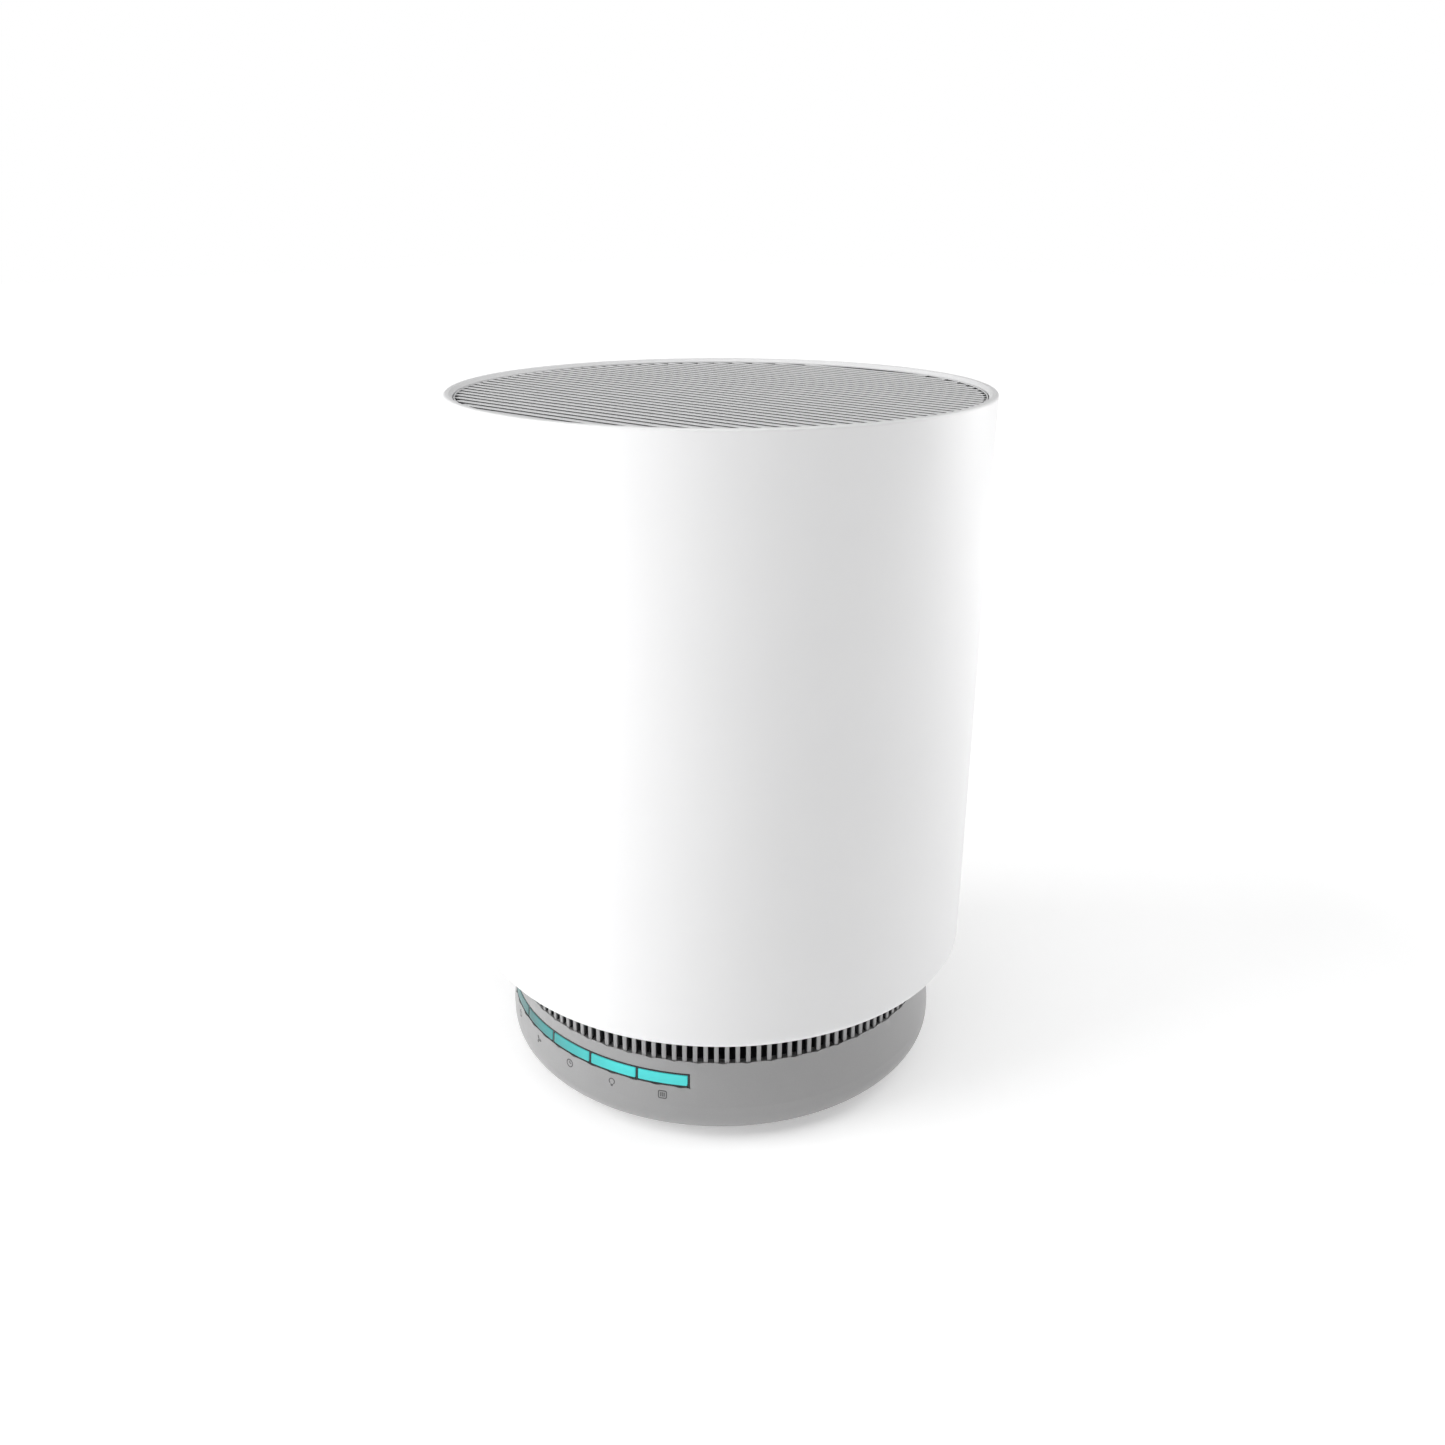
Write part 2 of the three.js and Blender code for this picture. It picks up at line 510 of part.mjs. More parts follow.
// The base is a cup with a rounded corner. Its wall ends in a ring of upright bars, with the air slots
// between them. Pillars inside it carry the deck, and a window lets the keys through.
function baseHousing() {
  const cornerCentre = [baseRadius - BASE_CORNER, FLOOR_CLEARANCE + UNDERSIDE_DROP + BASE_CORNER];
  const outline = [
    [baseTopRadius, slotSill],
    [baseRadius, BASE_FLARE_HEIGHT],
    ...arcPoints(cornerCentre, BASE_CORNER, 0, -90, 3),
    [cornerCentre[0] - UNDERSIDE_BEVEL, FLOOR_CLEARANCE],
    [coverRadius + GAP, FLOOR_CLEARANCE],
    [coverRadius + GAP, coverTop + GAP],
    [coverRadius - COVER_LAP, coverTop + GAP],
    [coverRadius - COVER_LAP, coverLedgeTop],
    [coverRadius + GAP + BASE_WALL, coverLedgeTop],
    [coverRadius + GAP + BASE_WALL, baseFloorTop],
    [cornerCentre[0] - UNDERSIDE_BEVEL, baseFloorTop],
    ...arcPoints(cornerCentre, BASE_CORNER - BASE_WALL, -90, 0, 2),
    [baseRadius - BASE_WALL, BASE_FLARE_HEIGHT],
    [baseInnerTop, slotSill],
  ];
  const barWidth = (2 * Math.PI * baseTopRadius) / slotCount - SLOT_WIDTH;
  const barOuter = baseTopRadius - SLOT_BAR_SETBACK;
  const bars = evenly(slotCount, (angle) =>
    spoke(barOuter - SLOT_BAR_DEPTH, barOuter, barWidth, slotSill - BITE, fanPlateBottom - GAP, angle));
  const pillars = PILLAR_ANGLES.map((angle) =>
    post(PILLAR_RADIUS, baseFloorTop - BITE, deckBottom - GAP, pillarRadiusToAxis, angle, 12));
  const boardPosts = [-1, 1].map((side) =>
    post(BOARD_POST_RADIUS, baseFloorTop - BITE, controlBoardTop - BOARD_THICKNESS - GAP,
      controlBoardOuter - CONTROL_BOARD_WIDTH / 2, FRONT + side * (STRIP_SPAN / 2 - 8), 12));
  const halfStrip = STRIP_SPAN / 2;
  const window = sector(baseInnerTop - PAST, baseRadius + PAST, FRONT - halfStrip, FRONT + halfStrip,
    STRIP_BOTTOM, stripTop);
  const inletWindow = block(
    [-INLET_WIDTH / 2 - GAP, baseRadius - 4 * BASE_WALL, INLET_Z - INLET_HEIGHT / 2 - GAP],
    [INLET_WIDTH / 2 + GAP, baseRadius + PAST, INLET_Z + INLET_HEIGHT / 2 + GAP]);
  const pilots = PILLAR_ANGLES.map((angle) =>
    post(SCREW_SHANK + GAP, baseFloorTop + PILOT_FLOOR, deckBottom + PAST, pillarRadiusToAxis, angle, 8));
  const coverPilots = evenly(4, (angle) =>
    post(SCREW_SHANK + GAP, coverTop - PAST, coverLedgeTop + PAST, coverScrewCircle, angle + 45, 8));
  const footPockets = evenly(4, (angle) =>
    post(FOOT_RADIUS + GAP, FLOOR_CLEARANCE - PAST, FOOT_HEIGHT + GAP, footCircle, angle + 45, 16));
  const body = join(turned(outline, Math.round(slotCount / 3)), ...bars, ...pillars, ...boardPosts);
  return cut(body, window, inletWindow, ...pilots, ...coverPilots, ...footPockets);
}

function bottomCover() {
  const plate = disc(coverRadius, FLOOR_CLEARANCE, coverTop, 40);
  const circle = (radius, bottom, top) =>
    evenly(4, (angle) => post(radius, bottom, top, coverScrewCircle, angle + 45, 12));
  const holes = circle(SCREW_SHANK + GAP, FLOOR_CLEARANCE - PAST, coverTop + PAST);
  const sinks = circle(SCREW_HEAD + GAP, FLOOR_CLEARANCE - PAST, FLOOR_CLEARANCE + SCREW_HEAD_HEIGHT + GAP);
  return cut(plate, ...holes, ...sinks);
}

// A screw that points up, with its head's face at z = 0 and a slot across it.
function screw(length) {
  const outline = [
    [0, 0],
    [SCREW_HEAD - SCREW_CHAMFER, 0],
    [SCREW_HEAD, SCREW_CHAMFER],
    [SCREW_HEAD, SCREW_HEAD_HEIGHT],
    [SCREW_SHANK, SCREW_HEAD_HEIGHT],
    [SCREW_SHANK, length - SCREW_POINT],
    [0, length],
  ];
  const reach = SCREW_HEAD + PAST;
  const half = SCREW_SLOT_WIDTH / 2;
  const slot = block([-reach, -half, -PAST], [reach, half, SCREW_SLOT_DEPTH]);
  return cut(turned(outline, 8), slot);
}

// The deck closes the electronics in below the air space. Its posts carry the fan plate.
function baseDeck() {
  const posts = PILLAR_ANGLES.map((angle) =>
    post(PILLAR_RADIUS, deckTop - BITE, fanPlateBottom - GAP, pillarRadiusToAxis, angle, 12));
  const { width, depth, rear } = MAIN_BOARD;
  const hangers = [-1, 1].flatMap((x) => [-1, 1].map((y) =>
    disc(HANGER_RADIUS, controlBoardTop + GAP, deckBottom + BITE, 10)
      .translate(x * (width / 2 - HANGER_INSET), rear - depth / 2 + y * (depth / 2 - HANGER_INSET), 0)));
  const holes = PILLAR_ANGLES.map((angle) =>
    post(SCREW_SHANK + GAP, deckBottom - PAST, fanPlateBottom + PAST, pillarRadiusToAxis, angle, 8));
  const leadHole = post(leadDrop.hole, deckBottom - PAST, deckTop + PAST, leadDrop.distance,
    leadDrop.angle, 12);
  return cut(join(disc(deckRadius, deckBottom, deckTop, 48), ...posts, ...hangers), ...holes, leadHole);
}

// ---------------------------------------------------------------- keys and electronics

const keyPitch = STRIP_SPAN / KEY_COUNT;
const keyAngle = (i) => FRONT - STRIP_SPAN / 2 + keyPitch * (i + 0.5);
const toDegrees = (length, radius) => THREE.MathUtils.radToDeg(length / radius);

// Half the angle that a key's opening in the bezel takes.
const openingHalfSpan = keyPitch / 2 - toDegrees(BEZEL_DIVIDER / 2, keyFaceRadius);
const openingBottom = STRIP_BOTTOM + BEZEL_GAP + BEZEL_RAIL;
const openingTop = stripTop - BEZEL_GAP - BEZEL_RAIL;

function buttonBezel() {
  const half = STRIP_SPAN / 2 - toDegrees(BEZEL_GAP, keyFaceRadius);
  const lap = half + toDegrees(BEZEL_FLANGE_MARGIN, keyFaceRadius);
  const endWall = toDegrees(BEZEL_DIVIDER / 2, keyFaceRadius);
  const face = sector(bezelFlangeOuter - BITE, keyFaceRadius - BEZEL_SETBACK, FRONT - half, FRONT + half,
    STRIP_BOTTOM + BEZEL_GAP, stripTop - BEZEL_GAP);
  const flange = sector(bezelFlangeInner, bezelFlangeOuter, FRONT - lap, FRONT + lap,
    STRIP_BOTTOM - BEZEL_FLANGE_MARGIN, stripTop + BEZEL_FLANGE_MARGIN);
  const openings = Array.from({ length: KEY_COUNT }, (_, i) => {
    const first = i === 0 ? endWall : 0;
    const last = i === KEY_COUNT - 1 ? endWall : 0;
    return sector(bezelFlangeInner - PAST, keyFaceRadius + PAST, keyAngle(i) - openingHalfSpan + first,
      keyAngle(i) + openingHalfSpan - last, openingBottom, openingTop);
  });
  return cut(join(face, flange), ...openings);
}

// A key is a lens that fills its opening, a flange behind the bezel and a stem towards its switch.
function key(i) {
  const half = openingHalfSpan - toDegrees(KEY_GAP, keyFaceRadius);
  const endWall = toDegrees(BEZEL_DIVIDER / 2, keyFaceRadius);
  const from = keyAngle(i) - half + (i === 0 ? endWall : 0);
  const to = keyAngle(i) + half - (i === KEY_COUNT - 1 ? endWall : 0);
  const lens = sector(keyFlangeInner + BITE, keyFaceRadius, from, to,
    openingBottom + KEY_GAP, openingTop - KEY_GAP);
  const flange = sector(keyFlangeInner, keyFlangeOuter, from, to,
    openingBottom - KEY_FLANGE_MARGIN, openingTop + KEY_FLANGE_MARGIN);
  const stem = spoke(stemTip, keyFlangeInner + BITE, KEY_STEM, stripMiddle - KEY_STEM / 2,
    stripMiddle + KEY_STEM / 2, keyAngle(i));
  return join(lens, flange, stem);
}

function tactSwitch(i) {
  const outer = plungerTip - SWITCH_PLUNGER;
  const body = spoke(outer - SWITCH_SIZE, outer, SWITCH_SIZE, controlBoardTop + GAP,
    stripMiddle + SWITCH_SIZE / 2, keyAngle(i));
  const plunger = spoke(outer - BITE, plungerTip, SWITCH_SIZE / 2, stripMiddle - SWITCH_SIZE / 4,
    stripMiddle + SWITCH_SIZE / 4, keyAngle(i));
  return join(body, plunger);
}

// A crescent board with a lamp beside each switch.
function controlBoard() {
  const half = STRIP_SPAN / 2;
  const board = sector(controlBoardInner, controlBoardOuter, FRONT - half, FRONT + half,
    controlBoardTop - BOARD_THICKNESS, controlBoardTop, 6);
  const lampOuter = controlBoardOuter - LAMP_MARGIN;
  const lamps = Array.from({ length: KEY_COUNT }, (_, i) => [-1, 1].map((side) =>
    spoke(lampOuter - LAMP_LENGTH, lampOuter, LAMP_WIDTH, controlBoardTop - BITE, stripMiddle,
      keyAngle(i) + (side * keyPitch) / 3))).flat();
  const { width, depth, height, inset } = CONTROL_CONNECTOR;
  const rear = controlBoardInner + inset;
  const socket = spoke(rear, rear + depth, width, controlBoardTop - BOARD_THICKNESS - height,
    controlBoardTop - BITE, FRONT);
  return join(board, ...lamps, socket);
}

// The outer end of the motor lead's connector, on the edge of the main board.
const motorPlug = {
  x: -MAIN_BOARD.width / 2 + 1,
  y: 4,
  z: controlBoardTop - BOARD_THICKNESS - LEAD_DROP,
};

// The main board hangs under the deck with its parts facing down.
function mainBoard() {
  const { width, depth, rear } = MAIN_BOARD;
  const bottom = controlBoardTop - BOARD_THICKNESS;
  const front = rear - depth;
  // x, distance from the board's rear edge, width, depth and height of what is soldered under it
  const chips = [
    [0, 16, 12, 12, 6],
    [20, 14, 8, 8, 2.5],
    [-10, depth - 14, 10, 10, 1.6],
    [14, depth - 12, 7, 7, 1.6],
    [32, 30, 6, 10, 6],
    [0, depth - 4, 12, 5, 6],
  ];
  const fitted = chips.map(([x, back, w, d, h]) =>
    block([x - w / 2, rear - back - d / 2, bottom - h], [x + w / 2, rear - back + d / 2, bottom + BITE]));
  const capacitors = CAPACITOR.x.map((x) =>
    disc(CAPACITOR.radius, bottom - CAPACITOR.height, bottom + BITE, 16)
      .translate(x, rear - CAPACITOR.back, 0));
  const { x, y, z } = motorPlug;
  const { width: across, length, height } = MOTOR_CONNECTOR;
  return join(
    block([-width / 2, front, bottom], [width / 2, rear, controlBoardTop]),
    block([x, y - across / 2, z - height / 2], [x + length, y + across / 2, bottom + BITE]),
    ...capacitors,
    ...fitted,
  );
}

// The power inlet is a black cup in the rear wall, with a round socket in its floor.
function inletSocket() {
  const z = INLET_Z;
  const hw = INLET_WIDTH / 2;
  const hh = INLET_HEIGHT / 2;
  const cup = block([-hw, inletBack, z - hh], [hw, inletFace, z + hh]);
  const pocket = block([-hw + INLET_WALL, inletFloor, z - hh + INLET_WALL],
    [hw - INLET_WALL, inletFace + PAST, z + hh - INLET_WALL]);
  const bore = disc(INLET_BORE_RADIUS, 0, INLET_SOCKET_LENGTH, 24)
    .rotateX(-Math.PI / 2)
    .translate(0, inletBack + INLET_END_WALL, z);
  return cut(cup, pocket, bore);
}

function inletPin() {
  const start = inletBack + INLET_END_WALL + GAP;
  const length = inletFloor - INLET_PIN_SETBACK - start;
  return disc(INLET_PIN_RADIUS, 0, length, 12).rotateX(-Math.PI / 2).translate(0, start, INLET_Z);
}

// ---------------------------------------------------------------- fan

// Where the motor lead runs down, between two vanes and clear of the slots.
const leadDrop = {
  distance: baseInnerTop - LEAD_WALL_GAP,
  angle: LEAD_ANGLE,
  hole: LEAD_RADIUS + LEAD_HOLE_MARGIN,
};

function fanPlate() {
  const throat = inletRadius;
  const flare = INLET_RING_FLARE;
  const fillet = INLET_RING_FILLET;
  const outline = [
    [throat + flare, fanPlateBottom],
    [fanPlateRadius, fanPlateBottom],
    [fanPlateRadius, fanPlateTop],
    ...arcPoints([throat + INLET_RING_WALL + fillet, fanPlateTop + fillet], fillet, -90, -180, 2),
    [throat + INLET_RING_WALL, fanPlateTop + INLET_RING_RISE],
    [throat, fanPlateTop + INLET_RING_RISE],
    ...arcPoints([throat + flare, fanPlateBottom + flare], flare, 180, 270, 3).slice(0, -1),
  ];
  const screwHoles = PILLAR_ANGLES.map((angle) =>
    post(SCREW_SHANK + GAP, fanPlateBottom - PAST, fanPlateTop + PAST, pillarRadiusToAxis, angle, 8));
  const leadHole = post(leadDrop.hole, fanPlateBottom - PAST, fanPlateTop + PAST, leadDrop.distance,
    leadDrop.angle, 12);
  return cut(turned(outline, 40), ...screwHoles, leadHole);
}

// The fan housing is a short drum. Its vanes straighten the air and carry the motor plate.
function fanHousing() {
  const drum = ring(fanHousingInner, fanHousingOuter, fanPlateTop + GAP, vaneTop, 48);
  const plate = disc(MOTOR_PLATE_RADIUS, motorPlateBottom, motorPlateTop, 36);
  const vanes = evenly(VANE_COUNT, (angle) => sweptBlade({
    inner: MOTOR_PLATE_RADIUS - VANE_THICKNESS,
    outer: fanHousingInner + BITE,
    sweep: VANE_SWEEP,
    thickness: VANE_THICKNESS,
    bottom: vaneBottom,
    top: vaneTop,
    angle,
    steps: 3,
  }));
  const shaftHole = disc(SHAFT_RADIUS + 1, motorPlateBottom - PAST, motorPlateTop + PAST, 16);
  const leadHole = post(leadDrop.hole, vaneBottom - PAST, motorPlateTop + PAST, LEAD_START,
    leadDrop.angle, 12);
  return cut(join(drum, plate, ...vanes), shaftHole, leadHole);
}

// The impeller throws air outwards between two discs. Its hub is a cup, open upwards, for the rotor.
function impeller() {
  const hubBottom = impellerTop - HUB_HEIGHT;
  const hubInner = ROTOR_RADIUS + GAP;
  const hub = turned([
    [0, hubBottom],
    [hubRadius - HUB_CHAMFER, hubBottom],
    [hubRadius, hubBottom + HUB_CHAMFER],
    [hubRadius, impellerTop - IMPELLER_DISC],
    [impellerRadius, impellerTop - IMPELLER_DISC],
    [impellerRadius, impellerTop],
    [hubInner, impellerTop],
    [hubInner, hubBottom + HUB_WALL],
    [0, hubBottom + HUB_WALL],
  ], 40);
  const shroud = ring(impellerEye, impellerRadius, impellerBottom, impellerBottom + IMPELLER_DISC, 40);
  const blades = evenly(BLADE_COUNT, (angle) => sweptBlade({
    inner: impellerEye + BLADE_SETBACK,
    outer: impellerRadius - BLADE_SETBACK,
    sweep: -BLADE_SWEEP,
    thickness: BLADE_THICKNESS,
    bottom: impellerBottom + IMPELLER_DISC / 2,
    top: impellerTop - IMPELLER_DISC / 2,
    angle,
  }));
  return join(hub, shroud, ...blades);
}

// The rotor is a steel cup round a ring magnet, on a shaft that turns in two bearings.
function rotorCup() {
  const inner = ROTOR_RADIUS - ROTOR_WALL;
  return turned([
    [0, rotorBottom],
    [ROTOR_RADIUS, rotorBottom],
    [ROTOR_RADIUS, rotorTop],
    [inner, rotorTop],
    [inner, rotorBottom + ROTOR_WALL],
    [0, rotorBottom + ROTOR_WALL],
  ], 36);
}

function motorStator() {
  const coreOuter = tubeOuter + GAP + STATOR_CORE;
  const shoeInner = statorRadius - STATOR_SHOE;
  const shoeSpan = (360 / STATOR_POLES) * SHOE_COVER;
  const poles = evenly(STATOR_POLES, (angle) => join(
    spoke(coreOuter - BITE, shoeInner + BITE, STATOR_TOOTH, statorBottom, statorTop, angle),
    sector(shoeInner, statorRadius, angle - shoeSpan / 2, angle + shoeSpan / 2, statorBottom, statorTop, 12),
  ));
  return join(ring(tubeOuter + GAP, coreOuter, statorBottom, statorTop, 24), ...poles);
}

// Six coils, one round each pole, joined by the ring of wire that links them above the core.
function motorWinding() {
  const coreOuter = tubeOuter + GAP + STATOR_CORE;
  const inner = coreOuter + GAP;
  const width = STATOR_TOOTH + 2 * (GAP + COIL_THICKNESS);
  const outer = Math.sqrt((statorRadius - STATOR_SHOE) ** 2 - (width / 2) ** 2) - GAP;
  const bottom = statorBottom - GAP - COIL_THICKNESS;
  const top = statorTop + GAP + COIL_THICKNESS;
  const coils = evenly(STATOR_POLES, (angle) => cut(
    spoke(inner, outer, width, bottom, top, angle),
    spoke(inner - PAST, outer + PAST, STATOR_TOOTH + 2 * GAP, statorBottom - GAP, statorTop + GAP, angle),
  ));
  const link = ring(outer - COIL_THICKNESS, outer - LINK_INSET, statorTop + GAP + LINK_INSET,
    top - LINK_INSET, 30);
  return join(...coils, link);
}

const bearing = (bottom) =>
  ring(SHAFT_RADIUS + RUNNING_GAP, BEARING_RADIUS, bottom, bottom + BEARING_HEIGHT, 24);

// ---------------------------------------------------------------- liner and filter

const innerLiner = () => ring(linerInner, linerOuter, fanPlateTop + GAP, seatBottom - GAP, 48);

// The ring that the filter hangs on, at the top of the liner.
const filterSeat = () => ring(linerInner - SEAT_WIDTH, linerOuter, seatBottom, seatTop, 48);

// The pleated paper is a folded sheet that goes in and out all the way round.
function filterMedia() {
  const outer = [];
  const inner = [];
  const bend = PAPER_THICKNESS / 2;
  for (let i = 0; i < PLEAT_COUNT; i++) {
    const crest = (360 * i) / PLEAT_COUNT;
    const valley = (360 * (i + 0.5)) / PLEAT_COUNT;
    const shoulder = (r, side, angle) => {
      const a = radians(angle) + (side * bend) / r;
      return [r * Math.cos(a), r * Math.sin(a)];
    };
    const valleyRadius = mediaInner + PAPER_THICKNESS;
    const crestRadius = mediaOuter - PAPER_THICKNESS;
    outer.push(shoulder(mediaOuter, -1, crest), shoulder(mediaOuter, 1, crest));
    outer.push(shoulder(valleyRadius, -FOLD_SHARE, valley), shoulder(valleyRadius, FOLD_SHARE, valley));
    inner.push(shoulder(crestRadius, -FOLD_SHARE, crest), shoulder(crestRadius, FOLD_SHARE, crest));
    inner.push(shoulder(mediaInner, -1, valley), shoulder(mediaInner, 1, valley));
  }
  const shape = new THREE.Shape(outer.map(([x, y]) => new THREE.Vector2(x, y)));
  shape.holes.push(new THREE.Path(inner.map(([x, y]) => new THREE.Vector2(x, y))));
  return new THREE.ExtrudeGeometry(shape, { depth: mediaTop - mediaBottom, bevelEnabled: false })
    .translate(0, 0, mediaBottom);
}

// A thin tube of mesh that stands beside the paper.
const filterTube = (inner, segments) =>
  ring(inner, inner + MESH_THICKNESS, mediaBottom, mediaTop, segments);

function filterTopCap() {
  return ring(FILTER_BORE, filterFlangeRadius, filterFlangeBottom, filterTop, 40);
}

function filterBottomCap() {
  return turned([
    [0, filterBottom],
    [filterRadius, filterBottom],
    [filterRadius, filterBottom + FILTER_CAP],
    [0, filterBottom + FILTER_CAP],
  ], 40);
}

// A strap that stands up from the flange and folds over towards the middle.
function pullTab() {
  const root = filterFlangeRadius - TAB_REACH;
  const bottom = filterTop + GAP;
  const t = TAB_THICKNESS;
  const outline = [
    [root, bottom],
    [root + TAB_FOOT, bottom],
    [root + TAB_FOOT, bottom + t],
    [root + t, bottom + t],
    [root + t, bottom + TAB_RISE],
    [root - TAB_REACH, bottom + TAB_RISE],
    [root - TAB_REACH, bottom + TAB_RISE - t],
    [root, bottom + TAB_RISE - t],
  ];
  return raised(outline, -TAB_WIDTH / 2, TAB_WIDTH / 2).rotateX(Math.PI / 2).rotateZ(radians(FRONT));
}

// ---------------------------------------------------------------- leads

// From the motor board up through its plate, out between two vanes, down the drum and through the
// deck to its connector on the main board.
function motorLead() {
  const out = (distance, z) => [
    distance * Math.cos(radians(leadDrop.angle)),
    distance * Math.sin(radians(leadDrop.angle)),
    z,
  ];
  const { distance } = leadDrop;
  const over = motorPlateTop + LEAD_RADIUS + 1.5;
  const { x, y, z } = motorPlug;
  return lead([
    out(LEAD_START, motorBoardTop + GAP),
    out(LEAD_START, motorPlateTop - 1),
    out(15, over),
    out(30, over),
    out(distance - 8, over - 1),
    out(distance - 1, over - 6),
    out(distance, over - 14),
    out(distance, fanPlateBottom),
    out(distance, deckBottom - 2),
    [-distance * 0.8, y + 14, z + 3],
    [x - 9, y + 1, z],
    [x - GAP, y, z],
  ], LEAD_RADIUS, 34);
}

// From the crescent board back to the main board.
function controlLead() {
  const start = -controlBoardInner - CONTROL_CONNECTOR.inset + 1.5 * GAP;
  const end = MAIN_BOARD.rear - MAIN_BOARD.depth + 1.5 - 1.5 * GAP;
  const z = controlBoardTop - BOARD_THICKNESS - LEAD_DROP;
  return lead([[0, start, z], [0, start + 8, z - 3], [0, end - 8, z - 3], [0, end, z]], LEAD_RADIUS, 14);
}

function inletLead() {
  const start = inletBack - GAP;
  const end = MAIN_BOARD.rear + GAP;
  const z = controlBoardTop - BOARD_THICKNESS / 2;
  return lead([[0, start, INLET_Z], [0, start - 6, INLET_Z], [0, end + 6, z], [0, end, z]], LEAD_RADIUS, 12);
}

// ---------------------------------------------------------------- assembly

add("outer_shell", outerShell(), whitePlastic);
add("top_grille", topGrille(), greyPlastic);
add("base_housing", baseHousing(), silverPaint);
add("bottom_cover", bottomCover(), darkPlastic);
add("base_deck", baseDeck(), darkPlastic);
add("button_bezel", buttonBezel(), blackPlastic);
for (let i = 0; i < KEY_COUNT; i++) {
  add(`button_${i + 1}`, key(i), cyanLens);
  add(`tact_switch_${i + 1}`, tactSwitch(i), darkPlastic);
}
add("control_board", controlBoard(), boardGreen);
add("main_board", mainBoard(), boardGreen);
add("inlet_socket", inletSocket(), blackPlastic);
add("inlet_pin", inletPin(), steel);

evenly(4, (angle, i) => {
  const around = radians(angle + 45);
  const foot = disc(FOOT_RADIUS, 0, FOOT_HEIGHT, 16).translate(footCircle, 0, 0).rotateZ(around);
  add(`foot_${i + 1}`, foot, rubber);
  const coverScrew = screw(COVER_SCREW_LENGTH)
    .translate(coverScrewCircle, 0, FLOOR_CLEARANCE + SCREW_SINK).rotateZ(around);
  add(`cover_screw_${i + 1}`, coverScrew, steel);
});
PILLAR_ANGLES.forEach((angle, i) => {
  const frameScrew = screw(FRAME_SCREW_LENGTH)
    .rotateX(Math.PI)
    .translate(pillarRadiusToAxis, 0, fanPlateTop + GAP + SCREW_HEAD_HEIGHT)
    .rotateZ(radians(angle));
  add(`frame_screw_${i + 1}`, frameScrew, steel);
});

add("fan_plate", fanPlate(), darkPlastic);
add("fan_housing", fanHousing(), darkPlastic);
add("impeller", impeller(), blackPlastic);
add("rotor_cup", rotorCup(), steel);
add("rotor_magnet", ring(magnetOuter - MAGNET_THICKNESS, magnetOuter, rotorBottom + ROTOR_WALL + GAP,
  rotorTop - 1, 36), magnetGrey);
add("motor_shaft", disc(SHAFT_RADIUS, rotorBottom + ROTOR_WALL + GAP, motorPlateTop, 24), steel);
add("bearing_tube", ring(tubeInner, tubeOuter, tubeBottom, tubeTop, 24), brass);
add("lower_bearing", bearing(tubeBottom + BEARING_INSET), steel);
add("upper_bearing", bearing(tubeTop - BEARING_INSET - BEARING_HEIGHT), steel);
add("motor_stator", motorStator(), steel);
add("motor_winding", motorWinding(), copper);
add("motor_board", ring(tubeOuter + GAP, statorRadius, motorBoardBottom, motorBoardTop, 30), boardGreen);

add("inner_liner", innerLiner(), darkPlastic);
add("filter_seat", filterSeat(), darkPlastic);
add("filter_media", filterMedia(), filterPaper);
add("filter_outer_mesh", filterTube(filterRadius - MESH_THICKNESS, 40), filterMesh);
add("filter_inner_mesh", filterTube(FILTER_BORE, 32), filterMesh);
add("filter_top_cap", filterTopCap(), darkPlastic);
add("filter_bottom_cap", filterBottomCap(), darkPlastic);
add("filter_gasket", ring(linerInner - SEAT_WIDTH + GAP, filterFlangeRadius - GAP, seatTop + GAP,
  seatTop + GAP + GASKET_THICKNESS, 40), foam);
add("pull_tab", pullTab(), strap);

add("motor_lead", motorLead(), leadCover);
add("control_lead", controlLead(), leadCover);
add("inlet_lead", inletLead(), leadCover);

export default purifier;
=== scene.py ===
"""Looks of a small cylindrical air purifier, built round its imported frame. Metres, +Z up, front towards -Y."""

import json
import math

import bmesh
import bpy
import numpy as np
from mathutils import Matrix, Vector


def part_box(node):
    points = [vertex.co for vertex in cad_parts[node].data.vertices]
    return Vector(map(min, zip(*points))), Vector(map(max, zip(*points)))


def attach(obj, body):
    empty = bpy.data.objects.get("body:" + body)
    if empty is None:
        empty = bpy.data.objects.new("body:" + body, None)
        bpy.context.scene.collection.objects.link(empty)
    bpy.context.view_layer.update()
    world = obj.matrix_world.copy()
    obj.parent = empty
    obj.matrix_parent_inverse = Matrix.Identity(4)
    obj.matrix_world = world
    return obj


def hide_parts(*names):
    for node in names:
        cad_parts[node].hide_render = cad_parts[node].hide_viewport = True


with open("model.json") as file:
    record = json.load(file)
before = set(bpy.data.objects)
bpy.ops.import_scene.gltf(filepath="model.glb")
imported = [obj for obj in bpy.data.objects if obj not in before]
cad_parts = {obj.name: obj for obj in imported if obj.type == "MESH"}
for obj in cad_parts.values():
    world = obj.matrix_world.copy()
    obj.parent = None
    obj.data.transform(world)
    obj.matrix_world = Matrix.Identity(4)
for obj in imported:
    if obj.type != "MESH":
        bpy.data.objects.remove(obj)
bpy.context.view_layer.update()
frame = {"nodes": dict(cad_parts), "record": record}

# ---------------------------------------------------------------- sizes

MM = 0.001
GAP = 0.3 * MM  # between pieces that touch
EASED = 0.3 * MM  # rounding of an ordinary edge
LAP = 0.5 * MM  # how far one surface of a piece reaches into another
ROUND = 192  # columns round a large piece
FRONT = -90  # degrees from +X

shell_low, shell_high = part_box("outer_shell")
grille_low, grille_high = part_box("top_grille")
base_low, base_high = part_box("base_housing")
bezel_low, bezel_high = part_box("button_bezel")
_, cover_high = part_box("bottom_cover")
socket_low, socket_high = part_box("inlet_socket")

